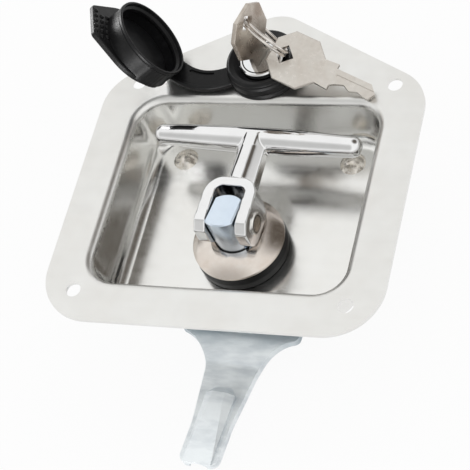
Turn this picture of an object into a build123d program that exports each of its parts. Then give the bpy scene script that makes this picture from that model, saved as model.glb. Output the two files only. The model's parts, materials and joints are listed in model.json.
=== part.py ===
from build123d import *
import os
from math import cos, hypot, pi, radians, sin, sqrt

# Recessed T-handle lock for a toolbox lid, lying face up.
# Millimetres. X runs across the plate, Y towards the key lock, Z out of the front face.
# The origin is the centre of the four fixing holes, on the back face of the flange.

# Face plate and its pressed dish
SHEET = 1.2
PLATE_WIDTH = 127.0
PLATE_BOTTOM = -58.0
SHOULDER_Y = 46.0
PEAK_Y = 80.0
BOTTOM_RADIUS = 20.0
SHOULDER_RADIUS = 18.0
PEAK_RADIUS = 14.0
FIXING_SPACING_X = 101.6
FIXING_SPACING_Y = 92.0
FIXING_HOLE_RADIUS = 2.8
DISH_WIDTH = 96.0
DISH_BOTTOM = -41.5
DISH_TOP = 38.0
DISH_DEPTH = 22.0
DISH_CORNER = 11.0
DISH_DRAFT = 4.0
DISH_FLOOR_RADIUS = 5.0
DISH_RIM_RADIUS = 3.0
FLOOR_Z = SHEET - DISH_DEPTH
FLOOR_BACK_Z = FLOOR_Z - SHEET

# Centres of the two mechanisms
SPINDLE_Y = -13.0
LOCK_Y = 52.0
REST_TURN = -3.2

# Rivets and the strap behind the dish that guides the locking slide
RIVET_X = 33.6
RIVET_Y = 26.0
RIVET_HEAD_RADIUS = 4.9
RIVET_HEAD_HEIGHT = 2.2
RIVET_SHANK_RADIUS = 2.4
RIVET_TAIL_RADIUS = 3.6
RIVET_TAIL_HEIGHT = 1.6
STRAP_THICKNESS = 2.0
STRAP_HALF_LENGTH = 40.0
STRAP_WIDTH = 16.0

# Spindle stack
SHAFT_RADIUS = 7.75
RUNNING_GAP = 0.05
TONGUE_HALF_WIDTH = 5.3
TONGUE_LOW_Z = 7.2
TONGUE_HIGH_Z = 4.2
DOME_TOP_Z = -10.2
DOME_RIM_Z = -14.0
DOME_RADIUS = 17.3
DOME_SHEET = 1.2
DOME_FLAT_RADIUS = 9.2
DOME_CROWN = (12.6, -0.75)
DOME_INNER_CROWN_RADIUS = 12.2
DOME_SKIRT = 0.9
SEAL_INNER_RADIUS = 12.7
SEAL_OUTER_RADIUS = 17.4
BUSH_FLANGE_RADIUS = 12.5
BUSH_FLANGE_HEIGHT = 2.0
BUSH_RADIUS = 9.5
BUSH_TOP_Z = -15.6
BUSH_LIP_RADIUS = 11.0
BUSH_LIP_HEIGHT = 0.6
SQUARE_SIZE = 11.0
SHOULDER_Z = -22.7
DISC_THICKNESS = 2.5
DISC_RADIUS = 18.0
DISC_NOTCH_DEPTH = 8.0
DISC_NOTCH_WIDTH = 11.0
LEVER_TOP_Z = -37.8
LEVER_THICKNESS = 3.0
SLEEVE_RADIUS = 9.6
THREAD_RADIUS = 5.0
SPINDLE_END_Z = -50.4
NUT_ACROSS_FLATS = 17.0
NUT_HEIGHT = 6.0
SPRING_WASHER_RADIUS = 8.4
SPRING_WASHER_HEIGHT = 1.4
SPRING_WASHER_SPLIT = 1.2
SPRING_WASHER_SPLIT_ANGLE = 30.0
NUT_CHAMFER = 0.9

# T handle, measured from its pivot pin: along the stem, and out of the plate
PIN_Z = -1.8
PIN_RADIUS = 3.0
PIN_HEAD_RADIUS = 4.3
PIN_HEAD_HEIGHT = 0.7
YOKE_HALF_WIDTH = 10.1
YOKE_SLOT_HALF_WIDTH = 5.7
YOKE_SLOT_END = 10.6
YOKE_LENGTH = 14.5
YOKE_FRONT = 7.5
YOKE_BACK = -7.5
YOKE_HEEL = -7.9
YOKE_HEEL_CHAMFER = 3.2
BAR_REACH = 35.3
BAR_HALF_LENGTH = 40.8
BAR_CENTRE_RADIUS = 5.0
BAR_END_RADIUS = 3.9
BAR_END_FLAT = 0.9
STEM_YOKE_WIDTH = 12.0
STEM_BAR_WIDTH = 10.4
STEM_OVERLAP = 2.0

# Cam lever behind the dish, measured down the arm from the spindle
LEVER_HEAD_HALF_WIDTH = 23.5
LEVER_HEAD_TOP = 17.0
LEVER_HEAD_BOTTOM = -26.0
LEVER_HEAD_TOP_RADIUS = 12.0
LEVER_HEAD_BOTTOM_RADIUS = 2.5
LEVER_SHOULDER_MIDDLE = (13.7, -32.0)
LEVER_NECK = (9.8, -41.5)
LEVER_TAIL_MIDDLE = (7.5, -62.0)
LEVER_TIP = (7.4, -78.6)
LEVER_TIP_RADIUS = 3.2
LEVER_DROP_START = -27.5
LEVER_DROP_END = -37.5
LEVER_DROP = 3.5
LEVER_TIP_RISE = 3.9
LEVER_BEND_RADIUS = 5.0
RIB_START = -46.8
RIB_FULL = -50.2
RIB_START_SHAPE = (3.0, 0.6, 0.05, 0.15)
RIB_FULL_SHAPE = (5.7, 2.6, 1.2, 3.0)
RIB_TIP_SHAPE = (5.5, 3.4, 0.7, 2.2)
RIB_SHEET = 2.2

# Cylinder lock
LOCK_FACE_Z = 9.2
LOCK_NECK_RADIUS = 8.4
LOCK_FLANGE_RADIUS = 10.6
LOCK_FLANGE_TOP_Z = 2.8
LOCK_BARREL_RADIUS = 8.0
LOCK_BARREL_FLAT = 7.0
LOCK_BACK_Z = -19.8
PLUG_RADIUS = 5.9
PLUG_FACE_RADIUS = 7.1
PLUG_FACE_THICKNESS = 1.6
PLUG_TAIL_SIZE = 5.0
LOCK_NUT_FLATS = 21.0
LOCK_NUT_HEIGHT = 3.1
TOOTH_WASHER_RADIUS = 9.9
TOOTH_WASHER_HEIGHT = 0.9
TOOTH_COUNT = 12
TOOTH_NOTCH = (1.6, 1.0)
CAM_THICKNESS = 2.0
CAM_TOP_Z = -20.0
CAM_RADIUS = 6.0
CAM_EYE_RADIUS = 3.4
PEG_RADIUS = 1.6
SLIDE_TRAVEL = 7.6
PEG_CIRCLE_RADIUS = SLIDE_TRAVEL / sqrt(2.0)
SCREW_HEAD_RADIUS = 3.2
SCREW_HEAD_HEIGHT = 2.4
SCREW_RADIUS = 1.75
SCREW_SLOT_WIDTH = 0.9
SCREW_SLOT_DEPTH = 0.9
KEY_ANGLE = 75.0
WAFER_COUNT = 5
WAFER_PITCH = 2.8
WAFER_FIRST_Z = -9.0
WAFER_THICKNESS = 0.8
WAFER_LENGTH = 10.6
WAFER_WIDTH = 5.0

# Locking slide
SLIDE_TOP_Z = -22.8
SLIDE_THICKNESS = 2.5
SLIDE_HALF_WIDTH = 5.0
SLIDE_GAP = 1.0
SLIDE_HEAD_START = 44.0
SLIDE_HEAD_FLARE = 3.0
SLIDE_HEAD_RIGHT = 7.0
SLIDE_HEAD_LEFT = 10.2
SLIDE_HEAD_ABOVE_PEG = 9.6

# Keys and their ring
KEY_THICKNESS = 1.8
KEY_BOW_HALF = 10.0
KEY_BOW_CUT = 4.8
KEY_HOLE_SIZE = 5.4
KEY_HOLE_OFFSET = 4.8
KEY_NECK_HALF_WIDTH = 5.2
KEY_SHOULDER = 15.3
KEY_TIP = 32.0
KEY_BLADE_HALF_WIDTH = 3.4
KEY_CUTS_START = 1.7
KEY_CUTS = ((0.0, 1.1), (3.2, 2.3), (6.0, 0.9), (8.8, 2.0), (11.6, 1.3))
KEY_POINT_LENGTH = 2.6
KEY_GROOVE_WIDTH = 0.9
KEY_GROOVE_DEPTH = 0.35
KEY_EDGE_CHAMFER = 0.3
KEY_SLOT_WIDTH = 2.1
KEY_SLOT_LENGTH = 7.1
KEY_TWO_CENTRE = Vector(15.3, 48.6, 11.9)
KEY_TWO_ALONG = Vector(0.914, -0.287, -0.288)
KEY_TWO_NORMAL = Vector(0.202, -0.288, 0.936)
RING_WIRE_RADIUS = 0.55
RING_PITCH = 1.55
RING_RADIUS = 10.4
RING_SIDE = Vector(-0.534, 0.72, -0.443)
RING_IN_FIRST_HOLE = Vector(-0.6, 0.1, 0)
RING_IN_SECOND_HOLE = Vector(0.3, 0.4, 0)
RING_HALF_TURNS = 4

# Rubber collar, strap and dust cap
COLLAR_BORE_RADIUS = 8.6
COLLAR_RADIUS = 14.6
COLLAR_TOP_Z = 8.9
COLLAR_FOOT_LIP = 0.1
COLLAR_FOOT_HEIGHT = 1.2
COLLAR_WAIST_INSET = 0.9
COLLAR_WAIST_HEIGHT = 2.1
COLLAR_BULGE_Z = 5.6
COLLAR_TOP_INSET = 2.6
COLLAR_TOP_WIDTH = 1.0
COLLAR_MOUTH = (0.5, 1.6)
COLLAR_BORE_DROP = 2.2
RUBBER_LIFT = 0.1
STRAP_BAND_WIDTH = 9.0
STRAP_BAND_THICKNESS = 2.6
STRAP_BAND_CORNER = 0.8
STRAP_ROUTE = ((-13.0, 47.4, 3.6), (-23.0, 44.6, 3.4), (-32.7, 48.1, 4.5))
CAP_RADIUS = 16.2
CAP_WALL = 1.7
CAP_BASE = 1.8
CAP_HEIGHT = 10.2
CAP_RIM_CENTRE = Vector(-39.5, 52.2, 21.2)
CAP_AXIS = Vector(0.823, 0.352, 0.446)
TAB_REACH = 23.0
TAB_HALF_WIDTH = 6.6
TAB_THICKNESS = 2.2
TAB_CORNER = 2.6
TAB_TANGENT_TURN = 1.08
CAP_EDGE = 0.8
CAP_RIM_EDGE = 0.5
CAP_LIP = 0.8
CAP_LIP_DROP = 1.2
CAP_FLOOR_EDGE = 1.2


def rounded_polygon(corners):
    """Face from a list of (x, y, corner radius), going round once."""
    face = make_face(Polyline(*[(x, y) for x, y, _ in corners], close=True))
    for x, y, radius in corners:
        if radius > 0:
            near = [v for v in face.vertices() if hypot(v.X - x, v.Y - y) < 0.01]
            face = fillet(near, radius)
    return face


def prism(face, low_z, high_z):
    """Solid from a flat outline between two heights."""
    return extrude(Plane.XY.offset(low_z) * face, amount=high_z - low_z)


def ring_solid(centre_y, profile):
    """Solid of revolution about an upright axis at (0, centre_y), from (radius, z) corners."""
    outline = make_face(Polyline(*[(r, 0, z) for r, z in profile], close=True))
    return Pos(0, centre_y, 0) * revolve(outline, Axis.Z)


def disc_at(x, y, radius, low_z, high_z):
    """Upright round bar."""
    return Pos(x, y, (low_z + high_z) / 2) * Cylinder(radius, high_z - low_z)


def block_at(x, y, size_x, size_y, low_z, high_z):
    """Upright square bar."""
    return Pos(x, y, (low_z + high_z) / 2) * Box(size_x, size_y, high_z - low_z)


def hexagon_at(y, across_flats, low_z, high_z, bore_radius):
    """Hexagon nut with chamfered corners and a plain bore."""
    corner = across_flats / sqrt(3.0)
    body = Pos(0, y, 0) * prism(RegularPolygon(corner, 6, rotation=0), low_z, high_z)
    cone = ring_solid(y, [
        (0, low_z), (across_flats / 2, low_z), (corner, low_z + NUT_CHAMFER),
        (corner, high_z - NUT_CHAMFER), (across_flats / 2, high_z), (0, high_z),
    ])
    return (body & cone) - disc_at(0, y, bore_radius, low_z - 1, high_z + 1)


def fixing_points():
    """Centres of the four fixing holes."""
    half_x = FIXING_SPACING_X / 2
    half_y = FIXING_SPACING_Y / 2
    return [(x, y) for x in (-half_x, half_x) for y in (-half_y, half_y)]


def dish_block(grow, top_z, depth, floor_radius):
    """Drafted block of the dish, grown sideways by the sheet thickness for its outside."""
    height = DISH_TOP - DISH_BOTTOM
    outline = RectangleRounded(DISH_WIDTH + 2 * grow, height + 2 * grow, DISH_CORNER + grow)
    placed = Plane.XY.offset(top_z) * Pos(0, (DISH_TOP + DISH_BOTTOM) / 2) * outline
    block = extrude(placed, amount=-depth, taper=DISH_DRAFT)
    floor_edges = block.faces().sort_by(Axis.Z)[0].edges()
    return fillet(floor_edges, floor_radius)


def lock_hole(low_z, high_z):
    """Round hole with two flats that keeps the lock barrel from turning."""
    clearance = 0.1
    hole = disc_at(0, LOCK_Y, LOCK_BARREL_RADIUS + clearance, low_z, high_z)
    width = 2 * (LOCK_BARREL_FLAT + clearance)
    return hole & block_at(0, LOCK_Y, width, 3 * LOCK_BARREL_RADIUS, low_z, high_z)


def make_face_dish():
    """Five-sided flange with the drawn dish, pressed from one sheet."""
    half = PLATE_WIDTH / 2
    outline = rounded_polygon([
        (-half, PLATE_BOTTOM, BOTTOM_RADIUS), (half, PLATE_BOTTOM, BOTTOM_RADIUS),
        (half, SHOULDER_Y, SHOULDER_RADIUS), (0, PEAK_Y, PEAK_RADIUS),
        (-half, SHOULDER_Y, SHOULDER_RADIUS),
    ])
    body = prism(outline, 0, SHEET) + dish_block(SHEET, 0, DISH_DEPTH, DISH_FLOOR_RADIUS + SHEET)
    body -= dish_block(0, SHEET, DISH_DEPTH, DISH_FLOOR_RADIUS)
    rim = [e for e in body.edges().filter_by_position(Axis.Z, SHEET - 0.01, SHEET + 0.01)
           if abs(e.center().X) < DISH_WIDTH / 2 + 1 and DISH_BOTTOM - 1 < e.center().Y < DISH_TOP + 1]
    body = fillet(rim, DISH_RIM_RADIUS)
    root = [e for e in body.edges().filter_by_position(Axis.Z, -0.01, 0.01)
            if abs(e.center().X) < DISH_WIDTH / 2 + 3 and DISH_BOTTOM - 3 < e.center().Y < DISH_TOP + 3]
    body = fillet(root, DISH_RIM_RADIUS - SHEET)
    for x, y in fixing_points():
        body -= disc_at(x, y, FIXING_HOLE_RADIUS, -1, SHEET + 1)
    for x in (-RIVET_X, RIVET_X):
        body -= disc_at(x, RIVET_Y, RIVET_SHANK_RADIUS, FLOOR_BACK_Z - 1, FLOOR_Z + 1)
    body -= disc_at(0, SPINDLE_Y, BUSH_RADIUS, FLOOR_BACK_Z - 1, FLOOR_Z + 1)
    return body - lock_hole(-1, SHEET + 1)


def make_rear_bracket():
    """Pressed strap with a raised bridge that the slide runs under."""
    inner = SLIDE_HALF_WIDTH + 0.3
    outer = inner + STRAP_THICKNESS
    foot = FLOOR_BACK_Z - STRAP_THICKNESS
    bridge = SLIDE_TOP_Z - SLIDE_THICKNESS - 0.3
    end = STRAP_HALF_LENGTH
    profile = Polyline(
        (-end, FLOOR_BACK_Z), (-inner, FLOOR_BACK_Z), (-inner, bridge), (inner, bridge),
        (inner, FLOOR_BACK_Z), (end, FLOOR_BACK_Z), (end, foot), (outer, foot),
        (outer, bridge - STRAP_THICKNESS), (-outer, bridge - STRAP_THICKNESS),
        (-outer, foot), (-end, foot), close=True)
    face = Plane.XZ.offset(-(RIVET_Y + STRAP_WIDTH / 2)) * make_face(profile)
    strap = extrude(face, amount=STRAP_WIDTH)
    bends = [e for e in strap.edges().filter_by(Axis.Y)
             if abs(abs(e.center().X) - outer) < 0.01 and e.center().Z < foot - 0.1]
    strap = fillet(bends, STRAP_THICKNESS - 0.2)
    ends = [e for e in strap.edges().filter_by(Axis.Z) if abs(e.center().X) > end - 0.1]
    strap = fillet(ends, 5.0)
    for x in (-RIVET_X, RIVET_X):
        strap -= disc_at(x, RIVET_Y, RIVET_SHANK_RADIUS, foot - 1, FLOOR_BACK_Z + 1)
    return strap


def make_rivets():
    """Two button-head rivets through the dish floor and the strap."""
    back = FLOOR_BACK_Z - STRAP_THICKNESS
    ball_radius = (RIVET_HEAD_RADIUS ** 2 + RIVET_HEAD_HEIGHT ** 2) / (2 * RIVET_HEAD_HEIGHT)
    ball = Pos(0, 0, FLOOR_Z + RIVET_HEAD_HEIGHT - ball_radius) * Sphere(ball_radius)
    head = ball & disc_at(0, 0, RIVET_HEAD_RADIUS + 1, FLOOR_Z, FLOOR_Z + RIVET_HEAD_HEIGHT + 1)
    rivet = head + disc_at(0, 0, RIVET_SHANK_RADIUS, back, FLOOR_Z)
    tail = disc_at(0, 0, RIVET_TAIL_RADIUS, back - RIVET_TAIL_HEIGHT, back)
    rivet += chamfer(tail.faces().sort_by(Axis.Z)[0].edges(), 0.6)
    return [Pos(x, RIVET_Y, 0) * rivet for x in (-RIVET_X, RIVET_X)]


def make_spindle_bush():
    """Flanged bush staked into the dish floor, which carries the spindle."""
    lip_z = FLOOR_BACK_Z - BUSH_LIP_HEIGHT
    flange_z = FLOOR_Z + BUSH_FLANGE_HEIGHT
    bore = SHAFT_RADIUS + RUNNING_GAP
    return ring_solid(SPINDLE_Y, [
        (bore, lip_z), (BUSH_LIP_RADIUS, lip_z), (BUSH_LIP_RADIUS, FLOOR_BACK_Z),
        (BUSH_RADIUS, FLOOR_BACK_Z), (BUSH_RADIUS, FLOOR_Z), (BUSH_FLANGE_RADIUS, FLOOR_Z),
        (BUSH_FLANGE_RADIUS, flange_z), (BUSH_RADIUS, flange_z), (BUSH_RADIUS, BUSH_TOP_Z),
        (bore, BUSH_TOP_Z),
    ])


def make_rubber_seal():
    """Thick rubber ring squeezed between the domed washer and the dish floor."""
    top = DOME_RIM_Z - RUNNING_GAP
    ring = ring_solid(SPINDLE_Y, [
        (SEAL_INNER_RADIUS, FLOOR_Z), (SEAL_OUTER_RADIUS, FLOOR_Z),
        (SEAL_OUTER_RADIUS, top), (SEAL_INNER_RADIUS, top),
    ])
    circles = ring.edges().filter_by(GeomType.CIRCLE)
    outer_edges = [e for e in circles if e.radius > SEAL_OUTER_RADIUS - 0.01]
    return fillet(outer_edges, 0.8)


def make_dome_washer():
    """Pressed cover washer, domed from its rim up to the shaft."""
    crown = (DOME_CROWN[0], 0, DOME_TOP_Z + DOME_CROWN[1])
    inner_crown = (DOME_INNER_CROWN_RADIUS, 0, crown[2] - DOME_SHEET)
    flat = DOME_FLAT_RADIUS
    inner_top = DOME_TOP_Z - DOME_SHEET
    skirt_z = DOME_RIM_Z + DOME_SKIRT
    inner_rim = DOME_RADIUS - DOME_SHEET
    outline = make_face(
        Line((SHAFT_RADIUS, 0, DOME_TOP_Z), (flat, 0, DOME_TOP_Z))
        + ThreePointArc((flat, 0, DOME_TOP_Z), crown, (DOME_RADIUS, 0, skirt_z))
        + Polyline((DOME_RADIUS, 0, skirt_z), (DOME_RADIUS, 0, DOME_RIM_Z), (inner_rim, 0, DOME_RIM_Z))
        + ThreePointArc((inner_rim, 0, DOME_RIM_Z), inner_crown, (flat, 0, inner_top))
        + Polyline((flat, 0, inner_top), (SHAFT_RADIUS, 0, inner_top), (SHAFT_RADIUS, 0, DOME_TOP_Z)))
    return Pos(0, SPINDLE_Y, 0) * revolve(outline, Axis.Z)


def make_spindle():
    """Turned spindle: flat tongue for the handle, round shaft, square and threaded end."""
    shaft = disc_at(0, 0, SHAFT_RADIUS, SHOULDER_Z, TONGUE_LOW_Z)
    cheek = SHAFT_RADIUS - TONGUE_HALF_WIDTH + 1
    for side in (-1, 1):
        x = side * (TONGUE_HALF_WIDTH + cheek / 2)
        shaft -= block_at(x, 0, cheek, 2 * SHAFT_RADIUS + 2, DOME_TOP_Z, TONGUE_LOW_Z + 1)
    low_y = -SHAFT_RADIUS
    high_y = SHAFT_RADIUS
    slope = make_face(Polyline(
        (0, low_y, TONGUE_LOW_Z), (0, high_y, TONGUE_HIGH_Z), (0, high_y + 1, TONGUE_HIGH_Z),
        (0, high_y + 1, TONGUE_LOW_Z + 2), (0, low_y, TONGUE_LOW_Z + 2), close=True))
    shaft -= extrude(slope, amount=SHAFT_RADIUS + 1, both=True)
    top = shaft.faces().filter_by(lambda f: f.normal_at().Z > 0.5 and f.center().Z > 0)
    shaft = chamfer(top.edges(), 0.5)
    lever_low = LEVER_TOP_Z - LEVER_THICKNESS + 0.3
    square = block_at(0, 0, SQUARE_SIZE, SQUARE_SIZE, lever_low, SHOULDER_Z)
    square = fillet(square.edges().filter_by(Axis.Z), 0.8)
    thread = disc_at(0, 0, THREAD_RADIUS, SPINDLE_END_Z, lever_low)
    thread = chamfer(thread.faces().sort_by(Axis.Z)[0].edges(), 0.9)
    pin_hole = Pos(0, 0, PIN_Z) * Rot(0, 90, 0) * Cylinder(PIN_RADIUS + RUNNING_GAP, 4 * SHAFT_RADIUS)
    return shaft + square + thread - pin_hole


def square_hole(low_z, high_z):
    """Cut for the spindle's square."""
    return block_at(0, 0, SQUARE_SIZE, SQUARE_SIZE, low_z, high_z)


def make_stop_disc():
    """Disc on the square with a notch for each of the two places where the lock holds it."""
    low = SHOULDER_Z - DISC_THICKNESS
    disc = disc_at(0, 0, DISC_RADIUS, low, SHOULDER_Z) - square_hole(low - 1, SHOULDER_Z + 1)
    floor_radius = DISC_RADIUS - DISC_NOTCH_DEPTH
    reach = DISC_NOTCH_DEPTH + 2
    notch = Pos(0, floor_radius + reach / 2, 0) * Box(DISC_NOTCH_WIDTH, reach, 60)
    for turn in (0, -90):
        disc -= Rot(0, 0, turn - REST_TURN) * notch
    return disc


def make_spacer_sleeve():
    """Tube between the stop disc and the lever."""
    low = LEVER_TOP_Z
    high = SHOULDER_Z - DISC_THICKNESS
    bore = SQUARE_SIZE / sqrt(2.0) + 0.1
    return disc_at(0, 0, SLEEVE_RADIUS, low, high) - disc_at(0, 0, bore, low - 1, high + 1)


def lever_outline():
    """Outline of the lever seen flat: wide head, concave shoulders and a tapering tail."""
    head = LEVER_HEAD_HALF_WIDTH
    top = LEVER_HEAD_TOP
    start = (head, LEVER_HEAD_BOTTOM)
    tip_x, tip_y = LEVER_TIP
    right = (
        Line((head, top), start) + ThreePointArc(start, LEVER_SHOULDER_MIDDLE, LEVER_NECK)
        + Polyline(LEVER_NECK, LEVER_TAIL_MIDDLE, LEVER_TIP))
    left = mirror(right, Plane.YZ)
    face = make_face(right + left + Line((-head, top), (head, top)) + Line(LEVER_TIP, (-tip_x, tip_y)))
    radii = {top: LEVER_HEAD_TOP_RADIUS, start[1]: LEVER_HEAD_BOTTOM_RADIUS, tip_y: LEVER_TIP_RADIUS}
    for y, radius in radii.items():
        corners = [v for v in face.vertices() if abs(v.Y - y) < 0.01]
        face = fillet(corners, radius)
    return face


def tail_height(y):
    """Height of the tail's top face, which climbs evenly from the drop to the tip."""
    share = (y - LEVER_DROP_END) / (LEVER_TIP[1] - LEVER_DROP_END)
    return LEVER_TOP_Z - LEVER_DROP + LEVER_TIP_RISE * share


def lever_side():
    """Side view of the lever's sheet: flat head, a drop at the shoulders and a climbing tail."""
    high = LEVER_TOP_Z
    far = LEVER_TIP[1] - 1
    thick = LEVER_THICKNESS
    bend = LEVER_BEND_RADIUS
    back = LEVER_HEAD_TOP + 1
    return rounded_polygon([
        (back, high, 0), (LEVER_DROP_START, high, bend + thick), (LEVER_DROP_END, high - LEVER_DROP, bend),
        (far, tail_height(far), 0), (far, tail_height(far) - thick, 0),
        (LEVER_DROP_END, high - LEVER_DROP - thick, bend + thick), (LEVER_DROP_START, high - thick, bend),
        (back, high - thick, 0),
    ])


def rib_section(y, shape, inset, depth):
    """Upright cross-section of the tail's rib; the inset one is its hollow underside."""
    base, crown, shoulder_height, crown_height = shape
    base = max(base - inset, 0.3)
    crown = max(crown - inset, 0.1)
    face_z = tail_height(y)
    low = face_z - depth
    shoulder = max(face_z + shoulder_height - inset, low + 0.1)
    top = max(face_z + crown_height - inset, shoulder + 0.1)
    outline = Polyline(
        (-base, low), (-base, shoulder), (-crown, top), (crown, top), (base, shoulder), (base, low),
        close=True)
    return Plane.XZ.offset(-y) * make_face(outline)


def rib_body(inset, depth, end):
    """Rib on the tail: it rises out of the sheet over a short ramp and runs out at the tip."""
    sections = [
        rib_section(RIB_START - inset, RIB_START_SHAPE, inset, depth),
        rib_section(RIB_FULL - inset, RIB_FULL_SHAPE, inset, depth),
        rib_section(end, RIB_TIP_SHAPE, inset, depth),
    ]
    return loft(sections, ruled=True)


def make_cam_lever():
    """Pressed steel lever: a cranked sheet with a raised rib down its tail."""
    low = LEVER_TOP_Z - LEVER_THICKNESS
    sheet = extrude(Plane.YZ * lever_side(), amount=LEVER_HEAD_HALF_WIDTH + 1, both=True)
    body = sheet + rib_body(0, LEVER_THICKNESS / 2, LEVER_TIP[1] - 1)
    body -= rib_body(RIB_SHEET, LEVER_THICKNESS + 1, LEVER_TIP[1] - 1)
    body &= prism(lever_outline(), low - LEVER_DROP - 1, LEVER_TOP_Z + 1)
    return body - square_hole(low - 1, LEVER_TOP_Z + 1)


def make_spring_washer():
    """Split spring washer under the lever nut."""
    high = LEVER_TOP_Z - LEVER_THICKNESS
    low = high - SPRING_WASHER_HEIGHT
    washer = disc_at(0, 0, SPRING_WASHER_RADIUS, low, high)
    washer -= disc_at(0, 0, THREAD_RADIUS + 0.2, low - 1, high + 1)
    reach = 2 * (SPRING_WASHER_RADIUS - THREAD_RADIUS) + 4
    split = Pos(SPRING_WASHER_RADIUS, 0, (low + high) / 2) * Box(reach, SPRING_WASHER_SPLIT, 4)
    return washer - Rot(0, 0, SPRING_WASHER_SPLIT_ANGLE) * split


def make_lever_nut():
    """Hexagon nut that clamps the lever."""
    high = LEVER_TOP_Z - LEVER_THICKNESS - SPRING_WASHER_HEIGHT
    return hexagon_at(0, NUT_ACROSS_FLATS, high - NUT_HEIGHT, high, THREAD_RADIUS)


def make_t_handle():
    """Cast handle: yoke, eight-sided stem and a bar that thins towards its ends."""
    slot = 2 * YOKE_SLOT_HALF_WIDTH
    face = rounded_polygon([
        (-YOKE_HALF_WIDTH, YOKE_HEEL, 0), (YOKE_HALF_WIDTH, YOKE_HEEL, 0),
        (YOKE_HALF_WIDTH, YOKE_LENGTH, 7.6), (-YOKE_HALF_WIDTH, YOKE_LENGTH, 7.6),
    ])
    yoke = prism(face, YOKE_BACK, YOKE_FRONT)
    side = Plane.YZ * rounded_polygon([
        (YOKE_HEEL, YOKE_BACK, 6.8), (YOKE_LENGTH, YOKE_BACK, 4.0),
        (YOKE_LENGTH, YOKE_FRONT, 1.0), (YOKE_HEEL + YOKE_HEEL_CHAMFER, YOKE_FRONT, 0),
        (YOKE_HEEL, YOKE_FRONT - YOKE_HEEL_CHAMFER, 0),
    ])
    yoke &= extrude(side, amount=YOKE_HALF_WIDTH + 1, both=True)
    width_low = STEM_YOKE_WIDTH / 2
    width_high = STEM_BAR_WIDTH / 2
    sections = []
    for y, half in ((YOKE_LENGTH - STEM_OVERLAP, width_low), (BAR_REACH, width_high)):
        section = RegularPolygon(half / cos(pi / 8), 8, rotation=22.5)
        sections.append(Plane.XZ.offset(-y) * section)
    stem = loft(sections)
    slot_end = rounded_polygon([
        (-slot / 2, YOKE_HEEL - 2, 0), (slot / 2, YOKE_HEEL - 2, 0),
        (slot / 2, YOKE_SLOT_END, 2.4), (-slot / 2, YOKE_SLOT_END, 2.4),
    ])
    handle = yoke + stem + make_bar()
    handle -= prism(slot_end, YOKE_BACK - 2, YOKE_FRONT + 2)
    return handle - Rot(0, 90, 0) * Cylinder(PIN_RADIUS, 4 * YOKE_HALF_WIDTH)


def make_bar():
    """Grip bar: a spindle shape turned about its own length, with round ends."""
    end = BAR_HALF_LENGTH
    flat = BAR_END_FLAT
    shoulder = end - BAR_END_RADIUS * 0.9
    bulge = (end - 0.24 * BAR_END_RADIUS, 0.74 * BAR_END_RADIUS)
    outline = make_face(
        Polyline((-end, flat), (-end, 0), (end, 0), (end, flat))
        + ThreePointArc((end, flat), bulge, (shoulder, BAR_END_RADIUS))
        + ThreePointArc((shoulder, BAR_END_RADIUS), (0, BAR_CENTRE_RADIUS), (-shoulder, BAR_END_RADIUS))
        + ThreePointArc((-shoulder, BAR_END_RADIUS), (-bulge[0], bulge[1]), (-end, flat)))
    return Pos(0, BAR_REACH, 0) * revolve(outline, Axis.X)


def make_pivot_pin():
    """Pin through the yoke and the tongue, with a head pressed on each side."""
    reach = YOKE_HALF_WIDTH
    pin = Rot(0, 90, 0) * Cylinder(PIN_RADIUS, 2 * reach)
    for side in (-1, 1):
        head = Pos(side * (reach + PIN_HEAD_HEIGHT / 2), 0, 0) * Rot(0, 90, 0)
        head = head * Cylinder(PIN_HEAD_RADIUS, PIN_HEAD_HEIGHT)
        outer = head.edges().filter_by(GeomType.CIRCLE).sort_by(Axis.X)[-1 if side > 0 else 0]
        pin += chamfer(outer, 0.4)
    return pin


def make_lock_housing():
    """Lock body: neck, seating flange and threaded barrel with two flats."""
    body = ring_solid(LOCK_Y, [
        (PLUG_RADIUS + RUNNING_GAP, LOCK_BACK_Z), (LOCK_BARREL_RADIUS, LOCK_BACK_Z),
        (LOCK_BARREL_RADIUS, SHEET), (LOCK_FLANGE_RADIUS, SHEET),
        (LOCK_FLANGE_RADIUS, LOCK_FLANGE_TOP_Z), (LOCK_NECK_RADIUS, LOCK_FLANGE_TOP_Z),
        (LOCK_NECK_RADIUS, LOCK_FACE_Z - 0.5), (LOCK_NECK_RADIUS - 0.5, LOCK_FACE_Z),
        (PLUG_FACE_RADIUS + RUNNING_GAP, LOCK_FACE_Z),
        (PLUG_FACE_RADIUS + RUNNING_GAP, LOCK_FACE_Z - PLUG_FACE_THICKNESS - RUNNING_GAP),
        (PLUG_RADIUS + RUNNING_GAP, LOCK_FACE_Z - PLUG_FACE_THICKNESS - RUNNING_GAP),
    ])
    waste = LOCK_BARREL_RADIUS
    for side in (-1, 1):
        x = side * (LOCK_BARREL_FLAT + waste / 2)
        body -= block_at(x, LOCK_Y, waste, 3 * waste, LOCK_BACK_Z - 1, SHEET)
    return body


def make_tooth_washer():
    """Shakeproof washer between the flange and the lock nut."""
    low = -TOOTH_WASHER_HEIGHT
    washer = disc_at(0, LOCK_Y, TOOTH_WASHER_RADIUS, low, 0)
    washer -= disc_at(0, LOCK_Y, LOCK_BARREL_RADIUS + 0.1, low - 1, 1)
    notch = Pos(TOOTH_WASHER_RADIUS, 0, low / 2) * Box(*TOOTH_NOTCH, 3)
    for step in range(TOOTH_COUNT):
        washer -= Pos(0, LOCK_Y, 0) * Rot(0, 0, 360 / TOOTH_COUNT * step) * notch
    return washer


def make_lock_nut():
    """Thin hexagon nut that holds the lock in the flange."""
    high = -TOOTH_WASHER_HEIGHT
    nut = hexagon_at(0, LOCK_NUT_FLATS, high - LOCK_NUT_HEIGHT, high, LOCK_BARREL_RADIUS)
    return Pos(0, LOCK_Y, 0) * nut


def wafer_heights():
    """Middle height of each wafer."""
    return [WAFER_FIRST_Z + WAFER_PITCH * i for i in range(WAFER_COUNT)]


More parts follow.
